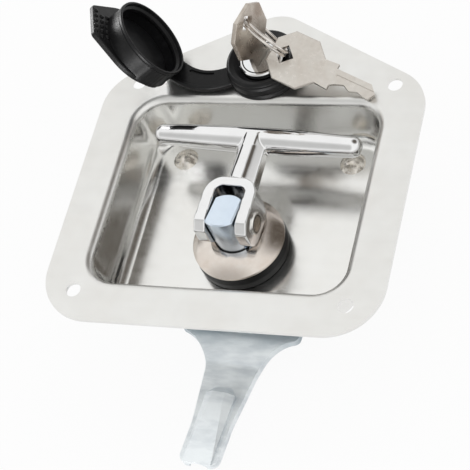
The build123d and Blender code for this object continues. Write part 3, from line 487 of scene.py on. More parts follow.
# The domed washer's dark line and the darker tone inside it are painted shadow in the gap where the spindle
# enters its hole
DOME_STAINLESS = DarkRingMetal(
    "domed_stainless", "polished_stainless", (0.74, 0.69, 0.64), (0.66, 0.58, 0.52), 0.15, 0.10,
    grain_height=6.0e-7, waviness=4.0e-5, patch_scale=90.0,
    dark_ring=DarkRing(SPINDLE_AXIS, 7.9 * MM, 0.45 * MM, (0.03, 0.028, 0.025), (0.3, 0.29, 0.28)))
RIVET_STAINLESS = PlatedMetal(
    "rivet_stainless", "stainless_rivet", (0.77, 0.74, 0.70), (0.55, 0.50, 0.42), 0.16, 0.16,
    grain_scale=1200.0, grain_height=5.0e-6, waviness=3.0e-5, patch_scale=260.0)
PIN_STAINLESS = DarkRingMetal(
    "pin_stainless", "stainless_rivet", (0.84, 0.83, 0.81), (0.74, 0.72, 0.68), 0.14, 0.12,
    grain_scale=1200.0, grain_height=3.0e-6, waviness=2.0e-5, patch_scale=260.0,
    dark_ring=DarkRing(PIN_CENTRE, 3.05 * MM, 0.32 * MM, (0.16, 0.14, 0.12), (0.72, 0.64, 0.55),
                    counts=(0.0, 1.0, 1.0), turn=HANDLE_TURN))
STRAP_STAINLESS = PlatedMetal(
    "strap_stainless", "stainless_strap", (0.66, 0.66, 0.65), (0.58, 0.58, 0.57), 0.24, 0.16,
    grain=Grain.ALONG_X, grain_height=3.0e-6)
CHROME = PlatedMetal(
    "handle_chrome", "polished_chrome", (0.86, 0.86, 0.865), (0.80, 0.80, 0.805), 0.05, 0.08,
    grain_scale=1500.0, grain_height=8.0e-7, waviness=3.0e-5, patch_scale=70.0)
# The lock face's near-black line is painted shade in the gap round the lock plug
LOCK_CHROME = DarkRingMetal(
    "lock_chrome", "chrome_lock", (0.84, 0.84, 0.84), (0.78, 0.78, 0.78), 0.10, 0.08,
    grain_scale=1500.0, grain_height=1.5e-6, patch_scale=120.0,
    dark_ring=DarkRing(LOCK_AXIS, 7.1 * MM, 0.30 * MM, (0.01, 0.01, 0.01), (0.80, 0.81, 0.82)))
BLUE_ZINC = PlatedMetal(
    "spindle_blue_zinc", "blue_zinc", (0.72, 0.81, 0.91), (0.66, 0.75, 0.86), 0.22, 0.05,
    grain_scale=1600.0, grain_height=8.0e-7, patch_scale=90.0)
ZINC = PlatedMetal(
    "plain_zinc", "zinc_plate", (0.68, 0.70, 0.72), (0.58, 0.61, 0.63), 0.26, 0.16,
    grain_scale=1500.0, grain_height=4.0e-6, patch_scale=200.0)
BUSH_BRASS = PlatedMetal(
    "bush_brass", "sintered_brass", (0.70, 0.55, 0.30), (0.60, 0.46, 0.25), 0.34, 0.12,
    grain_scale=2600.0, grain_height=6.0e-6, patch_scale=200.0)
WAFER_BRASS = PlatedMetal(
    "wafer_brass_sheet", "wafer_brass", (0.75, 0.60, 0.32), (0.66, 0.52, 0.28), 0.28, 0.12,
    grain=Grain.ALONG_X, grain_scale=1800.0, grain_height=4.0e-6, patch_scale=300.0)
NICKEL_SILVER = PlatedMetal(
    "key_nickel_silver", "nickel_silver", (0.68, 0.65, 0.605), (0.60, 0.555, 0.505), 0.26, 0.16,
    grain_scale=1100.0, grain_height=4.0e-6, waviness=3.0e-5, patch_scale=130.0)
WORN_NICKEL_SILVER = PlatedMetal(
    "worn_key_nickel_silver", "nickel_silver", (0.72, 0.68, 0.62), (0.34, 0.28, 0.235), 0.24, 0.16,
    grain=Grain.ALONG_Z, grain_scale=700.0, grain_height=4.0e-6, waviness=3.0e-5, patch_scale=75.0)
RING_STEEL = PlatedMetal(
    "ring_nickel_plate", "ring_steel", (0.80, 0.76, 0.72), (0.62, 0.58, 0.54), 0.12, 0.10,
    grain_scale=1800.0, grain_height=3.0e-6, patch_scale=240.0)

# Spangled zinc and rubber, each with its name, slot, tone, second tone and roughness
LEVER_ZINC = SpangledZinc(
    "lever_spangled_zinc", "galvanised_steel", (0.74, 0.79, 0.82), (0.94, 0.97, 0.98), 0.26, shine=0.50)
RUBBER = MouldedRubber(
    "moulded_rubber", "black_rubber", (0.007, 0.007, 0.0075), (0.018, 0.018, 0.019), 0.36, shine=0.22)


def link_mesh(name: str, work: bmesh.types.BMesh) -> Piece:
    """Make an object of worked geometry and put it in the scene.

    Args:
        name: The piece's name.
        work: Its geometry, which is used up.

    Returns:
        The object.
    """
    mesh = bpy.data.meshes.new(name)
    work.to_mesh(mesh)
    work.free()
    piece = bpy.data.objects.new(name, mesh)
    bpy.context.scene.collection.objects.link(piece)
    return piece


def make_real(piece: Piece) -> None:
    """Turn what a piece's modifiers make into its own mesh.

    Args:
        piece: The mesh object.
    """
    graph = bpy.context.evaluated_depsgraph_get()
    mesh = bpy.data.meshes.new_from_object(piece.evaluated_get(graph))
    piece.modifiers.clear()
    piece.data = mesh


def smooth(piece: Piece, angle: float) -> None:
    """Shade a piece smooth, with its real corners kept sharp.

    Args:
        piece: The mesh object.
        angle: Edges that turn more than this stay sharp, in radians.
    """
    work = bmesh.new()
    work.from_mesh(piece.data)
    for face in work.faces:
        face.smooth = True
    for edge in work.edges:
        edge.smooth = len(edge.link_faces) == 2 and edge.calc_face_angle(0.0) < angle
    work.to_mesh(piece.data)
    work.free()
    modifier = piece.modifiers.new("even_normals", "WEIGHTED_NORMAL")
    modifier.keep_sharp = True
    modifier.weight = FACE_WEIGHT


def place_piece(piece: Piece, finish: Finish, angle: float, body: str, *nodes: str) -> None:
    """Smooth and dress a piece, ride it on its body and let it stand for CAD nodes.

    Args:
        piece: The mesh object.
        finish: Its finish.
        angle: Edges that turn more than this stay sharp, in radians.
        body: The CAD body that it moves with.
        nodes: The CAD nodes that it stands for.
    """
    smooth(piece, angle)
    finish.dress(piece)
    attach(piece, body)
    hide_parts(*nodes)
    LOG.info("%s: %d faces on %s", piece.name, len(piece.data.polygons), body)


def smooth_copy(node: str, name: str, finish: Finish, angle: float = SMOOTH_ANGLE,
                corner: float = 0.0) -> Piece:
    """Stand a smoothly shaded, merged copy of a CAD node in its place.

    Args:
        node: The CAD node.
        name: The new piece's name.
        finish: Its finish.
        angle: Edges that turn more than this stay sharp, in radians.
        corner: Width of the rounding on sharp corners, in metres, or 0 for none.

    Returns:
        The new piece.
    """
    source = frame["nodes"][node]
    work = bmesh.new()
    work.from_mesh(source.data)
    bmesh.ops.remove_doubles(work, verts=work.verts, dist=MERGE_DISTANCE)
    bmesh.ops.dissolve_degenerate(work, edges=work.edges, dist=LEAST_EDGE)
    if corner > 0.0:
        bmesh.ops.dissolve_limit(work, angle_limit=FLAT_ANGLE, verts=work.verts, edges=work.edges)
    piece = link_mesh(name, work)
    if corner > 0.0:
        rounding = piece.modifiers.new("cast_corners", "BEVEL")
        rounding.width = corner
        rounding.segments = CORNER_SEGMENTS
        rounding.limit_method = "ANGLE"
        rounding.angle_limit = CORNER_ANGLE
        rounding.miter_outer = "MITER_ARC"
    place_piece(piece, finish, angle, source["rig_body"], node)
    return piece


def rounded_profile(corners: tuple[Triple, ...]) -> list[Pair]:
    """Round the corners of a closed outline.

    Args:
        corners: Each corner's two coordinates and its radius.

    Returns:
        The outline's points, in order.
    """
    points: list[Pair] = []
    for index, (x, y, radius) in enumerate(corners):
        if radius <= 0.0:
            points.append((x, y))
            continue
        here = Vector((x, y))
        before = Vector(corners[index - 1][:2]) - here
        after = Vector(corners[(index + 1) % len(corners)][:2]) - here
        wanted = radius / tan(before.angle(after) / 2)
        back = min(wanted, before.length * EDGE_SHARE, after.length * EDGE_SHARE)
        start = here + before.normalized() * back
        end = here + after.normalized() * back
        for step in range(PROFILE_STEPS + 1):
            t = step / PROFILE_STEPS
            point = start * (1 - t) ** 2 + here * 2 * t * (1 - t) + end * t ** 2
            points.append((point.x, point.y))
    return points


def skin(name: str, rings: list[list[Vector]], place: Matrix, looped: bool = False) -> Piece:
    """Join rings of points with faces and make the object.

    Args:
        name: The piece's name.
        rings: The points, ring by ring. A ring of one point is a pole.
        place: The frame that the points are given in.
        looped: Whether the last ring joins the first. Otherwise both ends are closed.

    Returns:
        The new object.
    """
    work = bmesh.new()
    points = [[work.verts.new(place @ point) for point in ring] for ring in rings]
    steps = max(map(len, points))
    for first, second in zip(points, points[1:] + (points[:1] if looped else [])):
        for here in range(steps):
            after = (here + 1) % steps
            corners = tuple(dict.fromkeys((
                first[here % len(first)], first[after % len(first)],
                second[after % len(second)], second[here % len(second)])))
            if len(corners) > 2:
                work.faces.new(corners)
    if not looped:
        work.faces.new(points[0])
        work.faces.new(points[-1])
    bmesh.ops.recalc_face_normals(work, faces=work.faces)
    return link_mesh(name, work)


def lathe(name: str, profile: list[Pair], place: Matrix, steps: int,
          swell: Callable[[float, float, float], float] | None = None) -> Piece:
    """Turn a closed outline of (radius, height) points about an axis.

    Args:
        name: The piece's name.
        profile: The outline's points. Points on the axis become poles.
        place: Where the axis stands.
        steps: Segments round the axis.
        swell: Extra radius by angle, radius and height.

    Returns:
        The new object.
    """
    rings = []
    turns = [2 * pi * step / steps for step in range(steps)]
    for radius, height in profile:
        reaches = [radius + (swell(turn, radius, height) if swell else 0.0) for turn in turns]
        ring = [Vector((reach * cos(turn), reach * sin(turn), height)) for reach, turn in zip(reaches, turns)]
        rings.append(ring if radius > LEAST_EDGE else [Vector((0, 0, height))])
    return skin(name, rings, place, looped=True)


def turned(origin: Triple | Vector, direction: Triple | Vector, across: Triple) -> Matrix:
    """Return a frame whose Z is a direction and whose X leans to another.

    Args:
        origin: The frame's origin.
        direction: The way of its Z.
        across: Roughly the way of its X.

    Returns:
        The frame as a matrix.
    """
    z = Vector(direction).normalized()
    x = (Vector(across) - z * z.dot(across)).normalized()
    matrix = Matrix((x, z.cross(x), z)).transposed().to_4x4()
    matrix.translation = origin
    return matrix


class GrowthTree:
    """A geometry node tree with named inputs that ends in one material."""

    def __init__(self, name: str, sizes: dict[str, float | int], finish: Finish) -> None:
        """Make the tree and its sockets.

        Args:
            name: The tree's name.
            sizes: Whole numbers and lengths by input name.
            finish: The finish of what grows.
        """
        self.values = sizes | {"Material": finish.material()}
        self.tree = bpy.data.node_groups.new(name, "GeometryNodeTree")
        self.sheet = NodeSheet(self.tree)
        kinds = {int: "NodeSocketInt", float: "NodeSocketFloat"}
        for label, value in self.values.items():
            kind = kinds.get(type(value), "NodeSocketMaterial")
            self.tree.interface.new_socket(label, in_out="INPUT", socket_type=kind)
        self.tree.interface.new_socket("Geometry", in_out="OUTPUT", socket_type="NodeSocketGeometry")
        self.given = self.sheet.add("NodeGroupInput").outputs

    def grow(self, name: str, geometry: Socket) -> Piece:
        """End the tree in real, smooth faces of one material, and make a plain mesh of them.

        Args:
            name: The piece's name.
            geometry: What the tree has made.

        Returns:
            The new object.
        """
        real = self.sheet.add("GeometryNodeRealizeInstances", {"Geometry": geometry}).outputs[0]
        even = self.sheet.add("GeometryNodeSetShadeSmooth", {0: real}).outputs[0]
        painted = self.sheet.add("GeometryNodeSetMaterial", {
            "Geometry": even, "Material": self.given["Material"]}).outputs[0]
        self.sheet.add("NodeGroupOutput", {0: painted})
        piece = link_mesh(name, bmesh.new())
        modifier = piece.modifiers.new("growth", "NODES")
        modifier.node_group = self.tree
        for item in self.tree.interface.items_tree:
            if item.name in self.values:
                modifier[item.identifier] = self.values[item.name]
        make_real(piece)
        return piece


@dataclass
class DishAssembly:
    """The pressed face dish, its rivets and the strap behind it."""

    rim_angle: float = radians(40)

    def build(self) -> None:
        """Dress the sheet and its fastenings."""
        smooth_copy("face_dish", "pressed_face_dish", STAINLESS, self.rim_angle)
        smooth_copy("bracket_rivets", "button_rivets", RIVET_STAINLESS)
        smooth_copy("spindle_bush", "flanged_bush", BUSH_BRASS)
        smooth_copy("rear_bracket", "rear_bracket_pressing", STRAP_STAINLESS)


@dataclass
class SpindleAssembly:
    """The spindle and what it carries, from the tongue to the lever nut."""

    seal_inner: float = 12.7 * MM
    seal_outer: float = 17.4 * MM
    seal_low: float = -20.8 * MM
    seal_high: float = -14.06 * MM
    seal_bulge: float = 0.25 * MM
    seal_roundings: Triple = mm(0.3, 0.8, 2.0)
    seal_steps: int = 96
    tongue_corner: float = 0.35 * MM
    lever_corner: float = 0.3 * MM
    zinc_nodes: tuple[str, ...] = ("stop_disc", "spacer_sleeve", "lever_spring_washer", "lever_nut")

    def build(self) -> None:
        """Make the rubber seal and dress the turning pieces."""
        self.make_seal()
        smooth_copy("dome_washer", "domed_cover_washer", DOME_STAINLESS)
        smooth_copy("spindle", "turned_spindle", BLUE_ZINC, corner=self.tongue_corner)
        smooth_copy("cam_lever", "pressed_cam_lever", LEVER_ZINC, corner=self.lever_corner)
        for node in self.zinc_nodes:
            smooth_copy(node, node + "_zinc", ZINC)

    def make_seal(self) -> None:
        """Turn the rubber ring that the domed washer squeezes, so that it bulges at its middle."""
        middle = (self.seal_low + self.seal_high) / 2
        waist = self.seal_outer - self.seal_bulge
        small, large, bulge = self.seal_roundings
        profile = rounded_profile((
            (self.seal_inner, self.seal_low, small), (waist, self.seal_low, large),
            (self.seal_outer, middle, bulge), (waist, self.seal_high, large),
            (self.seal_inner, self.seal_high, small)))
        ring = lathe("squeezed_rubber_seal", profile, Matrix.Translation(SPINDLE_AXIS), self.seal_steps)
        place_piece(ring, RUBBER, SMOOTH_ANGLE, "root", "rubber_seal")


@dataclass
class HandleAssembly:
    """The cast T handle and its pivot pin."""

    skin_grain: float = 0.30 * MM
    skin_passes: int = 8
    stem_low: float = 1.5 * MM
    stem_high: float = 17.0 * MM
    stem_half_width: float = 6.5 * MM
    stem_passes: int = 40

    def build(self) -> None:
        """Recast the handle, round its stem and dress the pin."""
        handle = smooth_copy("t_handle", "cast_t_handle", CHROME)
        self.recast(handle)
        self.round_stem(handle)
        smooth_copy("pivot_pin", "headed_pivot_pin", PIN_STAINLESS)

    def recast(self, handle: Piece) -> None:
        """Give the handle the soft corners and even skin of a casting.

        Args:
            handle: The handle.
        """
        cast = handle.modifiers.new("cast_skin", "REMESH")
        cast.mode = "VOXEL"
        cast.voxel_size = self.skin_grain
        cast.use_smooth_shade = True
        polish = handle.modifiers.new("polished_skin", "SMOOTH")
        polish.factor = RUB_SHARE
        polish.iterations = self.skin_passes
        make_real(handle)

    def round_stem(self, handle: Piece) -> None:
        """Rub the stem's edges rounder than the rest of the casting.

        Args:
            handle: The cast handle.
        """
        work = bmesh.new()
        work.from_mesh(handle.data)
        stem = [vert for vert in work.verts
                if self.stem_low < vert.co.y < self.stem_high and abs(vert.co.x) < self.stem_half_width]
        for _ in range(self.stem_passes):
            bmesh.ops.smooth_vert(
                work, verts=stem, factor=RUB_SHARE, use_axis_x=True, use_axis_y=True, use_axis_z=True)
        work.to_mesh(handle.data)
        work.free()


@dataclass
class LockAssembly:
    """The cylinder lock, from its face to the slide."""

    zinc_nodes: tuple[str, ...] = ("lock_tooth_washer", "lock_nut", "lock_cam", "cam_screw", "locking_slide")

    def build(self) -> None:
        """Dress the lock's pieces."""
        smooth_copy("lock_housing", "lock_body", LOCK_CHROME)
        smooth_copy("lock_plug", "lock_barrel_plug", LOCK_CHROME)
        smooth_copy("plug_wafers", "plug_wafer_stack", WAFER_BRASS)
        for node in self.zinc_nodes:
            smooth_copy(node, node + "_zinc", ZINC)


@dataclass
class KeyAssembly:
    """Both keys and their split ring."""

    ring_centre: Triple = mm(4.33711, 52.9835, 20.4773)
    ring_axis: Triple = (0.633356, 0.687873, 0.354529)
    ring_start: Triple = (-0.559967, 0.091164, 0.823484)
    ring_radius: float = 10.4 * MM
    ring_pitch: float = 1.55 * MM
    ring_turns: float = 2.0
    ring_steps: int = 193
    wire_radius: float = 0.55 * MM
    wire_sides: int = 18
    wire_angle: float = radians(50)

    def build(self) -> None:
        """Dress the keys and wind two turns of wire through both."""
        smooth_copy("key_one", "key_in_lock", WORN_NICKEL_SILVER)
        smooth_copy("key_two", "spare_key", NICKEL_SILVER)
        ring = self.wound_ring()
        ring.data.transform(turned(self.ring_centre, self.ring_axis, self.ring_start))
        place_piece(ring, RING_STEEL, self.wire_angle, "ring", "key_ring")

    def wound_ring(self) -> Piece:
        """Grow the split ring about the Z axis.

        Returns:
            The ring.
        """
        growth = GrowthTree("split_ring_winding", {
            "Ring Radius": self.ring_radius, "Pitch": self.ring_pitch, "Turns": self.ring_turns,
            "Wire Radius": self.wire_radius, "Steps": self.ring_steps, "Sides": self.wire_sides}, RING_STEEL)
        sheet, given, maths = growth.sheet, growth.given, growth.sheet.maths
        line = sheet.add("GeometryNodeCurvePrimitiveLine").outputs[0]
        stepped = sheet.add("GeometryNodeResampleCurve", {"Curve": line, "Count": given["Steps"]}).outputs[0]
        share = sheet.add("GeometryNodeSplineParameter").outputs["Factor"]
        whole = maths("MULTIPLY", maths("MULTIPLY", share, given["Turns"]), 2 * pi)
        turn = maths("SUBTRACT", whole, pi / 2)
        across = maths("MULTIPLY", maths("COSINE", turn), given["Ring Radius"])
        along = maths("MULTIPLY", maths("SINE", turn), given["Ring Radius"])
        climb = maths("MULTIPLY", given["Pitch"], given["Turns"])
        rise = maths("MULTIPLY", maths("SUBTRACT", share, 0.5), climb)
        spot = sheet.add("ShaderNodeCombineXYZ", {0: across, 1: along, 2: rise}).outputs[0]
        wound = sheet.add("GeometryNodeSetPosition", {"Geometry": stepped, "Position": spot}).outputs[0]
        section = sheet.add("GeometryNodeCurvePrimitiveCircle", {
            "Resolution": given["Sides"], "Radius": given["Wire Radius"]}).outputs[0]
        wire = sheet.add("GeometryNodeCurveToMesh", {
            "Curve": wound, "Profile Curve": section, "Fill Caps": True}).outputs[0]
        return growth.grow("split_key_ring", wire)


@dataclass
class CollarMoulding:
    """Rubber collar round the lock, rolled at its top and lipped at its foot.

    Each corner of its section is a radius, a height and a rounding.
    """

    section: tuple[Triple, ...] = (
        mm(10.8, 1.35, 0.0), mm(13.9, 1.35, 0.25), mm(14.0, 2.3, 0.35), mm(13.3, 3.3, 0.5),
        mm(14.1, 4.4, 0.9), mm(14.1, 6.8, 0.8), mm(13.6, 7.5, 0.25), mm(13.6, 8.6, 0.5),
        mm(12.5, 9.3, 0.7), mm(10.9, 8.6, 0.6), mm(9.4, 7.2, 0.5), mm(8.65, 6.6, 0.3),
        mm(8.65, 3.0, 0.0), mm(10.8, 3.0, 0.0))
    steps: int = 128

    def build(self) -> None:
        """Turn the collar."""
        profile = rounded_profile(self.section)
        collar = lathe("moulded_collar", profile, Matrix.Translation(LOCK_AXIS), self.steps)
        place_piece(collar, RUBBER, MOULDED_ANGLE, "root", "dust_collar")


@dataclass
class StrapMoulding:
    """Rubber strap from the collar to the cap, with a moulded groove and a beaded edge."""

    route: tuple[Triple, Triple, Triple] = (mm(-13.0, 47.4, 3.6), mm(-23.0, 45.2, 3.9), mm(-32.7, 48.1, 4.5))
    half_width: float = 4.45 * MM
    half_thickness: float = 1.27 * MM
    corner: float = 0.7 * MM
    reach: float = 1.14
    steps: int = 72
    top_steps: int = 36
    groove_across: float = 2.5 * MM
    groove_half_width: float = 0.5 * MM
    groove_depth: float = 0.95 * MM
    groove_span: Pair = (0.30, 0.86)
    bead_across: float = -3.5 * MM
    bead_half_width: float = 0.45 * MM
    bead_sink: float = 0.22 * MM
    bend_starts: float = 0.62
    look_ahead: float = 0.01

    def point(self, share: float) -> Vector:
        """Return a point on the strap's line, from 0 at the collar to 1 at the hinge."""
        first, middle, last = map(Vector, self.route)
        return (first * (2 * (share - 0.5) * (share - 1.0)) + middle * (4 * share * (1.0 - share))
                + last * (2 * share * (share - 0.5)))

    def top(self, across: float, share: float) -> float:
        """Return how far the top face lies under its highest level.

        Args:
            across: Distance from the middle line.
            share: Place along the strap.

        Returns:
            The depth.
        """
        start, end = self.groove_span
        if abs(across - self.groove_across) < self.groove_half_width and start < share < end:
            return self.groove_depth
        if abs(across - self.bead_across) < self.bead_half_width:
            return 0.0
        return self.bead_sink

    def section(self, share: float) -> list[Pair]:
        """Return the strap's outline at one place.

        Args:
            share: Place along the strap.

        Returns:
            Points across and up, in order.
        """
        wide, thick, corner = self.half_width, self.half_thickness, self.corner
        flat = wide - corner
        top = []
        for index in range(self.top_steps + 1):
            across = -flat + 2 * flat * index / self.top_steps
            top.append((across, thick - self.top(across, share)))
        turns = [pi / 2 * step / RIM_STEPS for step in range(RIM_STEPS + 1)]
        right = [(wide - corner * (1 - sin(turn)), thick - self.bead_sink - corner * (1 - cos(turn)))
                 for turn in turns[1:]]
        right += [(wide - corner * (1 - cos(turn)), -thick + corner * (1 - sin(turn))) for turn in turns]
        left = [(-x, y) for x, y in reversed(right)]
        return top + right + left

    def build(self) -> None:
        """Sweep the strap and bend it between the lock and the cap."""
        rings = []
        for step in range(self.steps + 1):
            share = self.reach * step / self.steps
            spot = self.point(share)
            way = (self.point(share + self.look_ahead) - self.point(share - self.look_ahead)).normalized()
            up = (Vector((0, 0, 1)) - way * way.z).normalized()
            side = way.cross(up)
            rings.append([spot + side * x + up * y for x, y in self.section(share)])
        strap = skin("moulded_strap", rings, Matrix())
        smooth(strap, MOULDED_ANGLE)
        RUBBER.dress(strap)
        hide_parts("dust_strap")
        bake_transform(strap)
        LOG.info("%s: %d faces from root to cap", strap.name, len(strap.data.polygons))


@dataclass
class CapMoulding:
    """Rubber cap with a lipped rim, a strap boss and a flat tab with grip bumps.

    Each corner of its section is a radius, a height over its back and a rounding.
    """

    section: tuple[Triple, ...] = (
        mm(14.9, 0.15, 0.8), mm(16.15, 1.0, 0.6), mm(15.85, 2.6, 0.4), mm(15.85, 8.5, 0.4),
        mm(16.18, 9.1, 0.4), mm(16.1, 10.15, 0.45), mm(15.25, 10.18, 0.35), mm(15.1, 8.7, 0.4),
        mm(14.15, 8.0, 0.5), mm(14.15, 6.9, 0.5), mm(14.7, 6.1, 0.4), mm(14.5, 1.8, 0.5))
    back: float = 0.15 * MM
    floor: float = 1.8 * MM
    steps: int = 180
    boss_inner: float = 15.5 * MM
    boss_top: float = 8.6 * MM
    boss_height: float = 0.42 * MM
    boss_middle: float = radians(98)
    boss_half_width: float = radians(25)
    boss_slope: float = 2.5
    boss_ribs: int = 4
    rib_height: float = 0.13 * MM
    rib_sharpness: int = 6
    plate_radius: float = 17.0 * MM
    plate_offset: Pair = mm(2.48, -1.04)
    plate_thickness: float = 2.1 * MM
    plate_edge: float = 0.5 * MM
    plate_steps: int = 72
    tab_low_corner: Pair = mm(22.9, 4.6)
    tab_high_corner: Pair = mm(21.5, -10.6)
    tab_corner_radius: float = 2.0 * MM
    grip_inset: float = 4.0 * MM
    bump_rows: int = 5
    bump_columns: int = 3
    bump_pitch: float = 2.75 * MM
    bump_radius: float = 0.95 * MM
    bump_height: float = 0.62 * MM
    bump_sizes: Pair = (0.86, 1.06)
    bump_seed: int = 11
    bump_sides: int = 14
    bump_rings: int = 8

    def place(self) -> Matrix:
        """Return the cap's own frame, with Z out of its open side."""
        return turned(CAP_RIM_CENTRE - CAP_AXIS * CAP_HEIGHT, CAP_AXIS, (0, 0, 1))

    def swell(self, angle: float, radius: float, height: float) -> float:
        """Return the boss that carries the strap.

        Args:
            angle: Angle round the cap.
            radius: Radius of the plain wall.
            height: Height over the cap's back.

        Returns:
            The extra radius.
        """
        share = (angle - self.boss_middle) / self.boss_half_width
        if radius < self.boss_inner or height > self.boss_top or abs(share) > 1.0:
            return 0.0
        rise = min(1.0, self.boss_slope * (1.0 - abs(share)))
        ribs = self.rib_height * cos(pi * self.boss_ribs * share) ** self.rib_sharpness
        return (self.boss_height + ribs) * rise * rise * (3.0 - 2.0 * rise)

    def cup(self) -> Piece:
        """Return the cap's cup, turned about its own axis."""
        outline = [(0.0, self.back)] + rounded_profile(self.section) + [(0.0, self.floor)]
        return lathe("moulded_cap", outline, self.place(), self.steps, self.swell)

    def tangent_turn(self, corner: Vector, side: float) -> float:
        """Return the angle on the plate's circle where a line from a tab corner touches it, on one side."""
        away = corner - Vector(self.plate_offset)
        return atan2(away.y, away.x) + side * acos(self.plate_radius / away.length)

    def plate_outline(self) -> list[Pair]:
        """Return the outline of the round back plate with its tab.

        Returns:
            The outline's points, in order.
        """
        centre, low, high = map(Vector, (self.plate_offset, self.tab_low_corner, self.tab_high_corner))
        start = self.tangent_turn(high, -1.0)
        end = self.tangent_turn(low, 1.0)
        sweep = (start - end) % (2 * pi)
        turns = [start - sweep * step / self.plate_steps for step in range(self.plate_steps + 1)]
        arc = [(centre.x + self.plate_radius * cos(turn), centre.y + self.plate_radius * sin(turn))
               for turn in turns]
        corners = rounded_profile((
            (*arc[-1], 0.0), (*low, self.tab_corner_radius), (*high, self.tab_corner_radius), (*arc[0], 0.0)))
        return corners + arc[1:-1]

    def back_plate(self) -> Piece:
        """Raise the back plate, with both its rims rounded.

        Returns:
            The plate.
        """
        outline = [Vector(point) for point in self.plate_outline()]
        centre = sum(outline, Vector((0.0, 0.0))) / len(outline)
        turns = [pi / 2 * step / RIM_STEPS for step in range(RIM_STEPS + 1)]
        levels = [(self.plate_edge * (1 - sin(turn)), self.plate_edge * (1 - cos(turn))) for turn in turns]
        levels += [(inset, self.plate_thickness - rise) for inset, rise in reversed(levels)]
        rings = [[(point + (centre - point).normalized() * inset).to_3d() + Vector((0, 0, level))
                  for point in outline] for inset, level in levels]
        return skin("cap_back_plate", rings, self.place())

    def grown_bumps(self) -> Piece:
        """Grow staggered rows of bumps on the XY plane.

        Returns:
            The bumps.
        """
        growth = GrowthTree("grip_bump_rows", {
            "Columns": self.bump_columns, "Rows": self.bump_rows, "Pitch": self.bump_pitch,
            "Bump Radius": self.bump_radius, "Bump Height": self.bump_height, "Seed": self.bump_seed}, RUBBER)
        sheet, given, maths = growth.sheet, growth.given, growth.sheet.maths
        deep = maths("MULTIPLY", maths("SUBTRACT", given["Columns"], 1.0), given["Pitch"])
        wide = maths("MULTIPLY", maths("SUBTRACT", given["Rows"], 1.0), given["Pitch"])
        grid = sheet.add("GeometryNodeMeshGrid", {
            "Size X": deep, "Size Y": wide, "Vertices X": given["Columns"], "Vertices Y": given["Rows"]})
        index = sheet.add("GeometryNodeInputIndex").outputs[0]
        column = maths("FLOOR", maths("DIVIDE", index, given["Rows"]))
        shift = maths("MULTIPLY", maths("MODULO", column, 2.0), maths("MULTIPLY", given["Pitch"], 0.5))
        offset = sheet.add("ShaderNodeCombineXYZ", {1: shift}).outputs[0]
        staggered = sheet.add("GeometryNodeSetPosition", {"Geometry": grid.outputs[0], "Offset": offset})
        dome = sheet.add("GeometryNodeMeshUVSphere", {
            "Segments": self.bump_sides, "Rings": self.bump_rings, "Radius": given["Bump Radius"]})
        squat = maths("DIVIDE", given["Bump Height"], given["Bump Radius"])
        least, most = self.bump_sizes
        size = sheet.add("FunctionNodeRandomValue", {
            2: least, 3: most, "Seed": given["Seed"]}, data_type="FLOAT").outputs[1]
        scale = sheet.add("ShaderNodeCombineXYZ", {0: size, 1: size, 2: squat}).outputs[0]
        bumps = sheet.add("GeometryNodeInstanceOnPoints", {
            "Points": staggered.outputs[0], "Instance": dome.outputs[0], "Scale": scale}).outputs[0]
        return growth.grow("tab_grip_bumps", bumps)

    def grip(self) -> Piece:
        """Lay the grip bumps on the tab.

        Returns:
            The bumps.
        """
        bumps = self.grown_bumps()
        middle = (Vector(self.tab_low_corner) + Vector(self.tab_high_corner)) / 2
        lean = atan2(middle.y, middle.x)
        middle -= middle.normalized() * self.grip_inset
        spot = Vector((middle.x, middle.y, self.plate_thickness))
        bumps.data.transform(self.place() @ Matrix.Translation(spot) @ Matrix.Rotation(lean, 4, "Z"))
        return bumps

    def build(self) -> None:
        """Join the cup, the plate and the bumps into one moulding."""
        cap = self.cup()
        work = bmesh.new()
        work.from_mesh(cap.data)
        for part in (self.back_plate(), self.grip()):
            work.from_mesh(part.data)
            bpy.data.objects.remove(part)
        work.to_mesh(cap.data)
        work.free()
        place_piece(cap, RUBBER, MOULDED_ANGLE, "cap", "dust_cap")


@dataclass(frozen=True)
class DarkCorner:
    """A part of the room that polished metal mirrors darker than the rest."""

    towards: Triple
    starts: float
    full: float
    tone: Triple


@dataclass(frozen=True)
class SoftBox:
    """A square lamp that faces the object and may light one finish alone."""

    name: str
    place: Triple
    size: float
    power: float
    finish: Finish | None = None
    glossy: bool = True
    diffuse: bool = True

    def hang(self) -> None:
        """Put the lamp in the scene, linked to the pieces of its finish."""
        data = bpy.data.lights.new(self.name, "AREA")
        data.size = self.size
        data.energy = self.power
        lamp = bpy.data.objects.new(self.name, data)
        lamp.location = self.place
        lamp.rotation_euler = Vector(self.place).to_track_quat("Z", "Y").to_euler()
        lamp.visible_glossy = self.glossy
        lamp.visible_diffuse = self.diffuse
        if self.finish is not None:
            lit = bpy.data.collections.new(self.name + "_pieces")
            for piece in bpy.context.scene.objects:
                if piece.type == "MESH" and self.finish.name in piece.data.materials:
                    lit.objects.link(piece)
            lamp.light_linking.receiver_collection = lit
        bpy.context.scene.collection.objects.link(lamp)


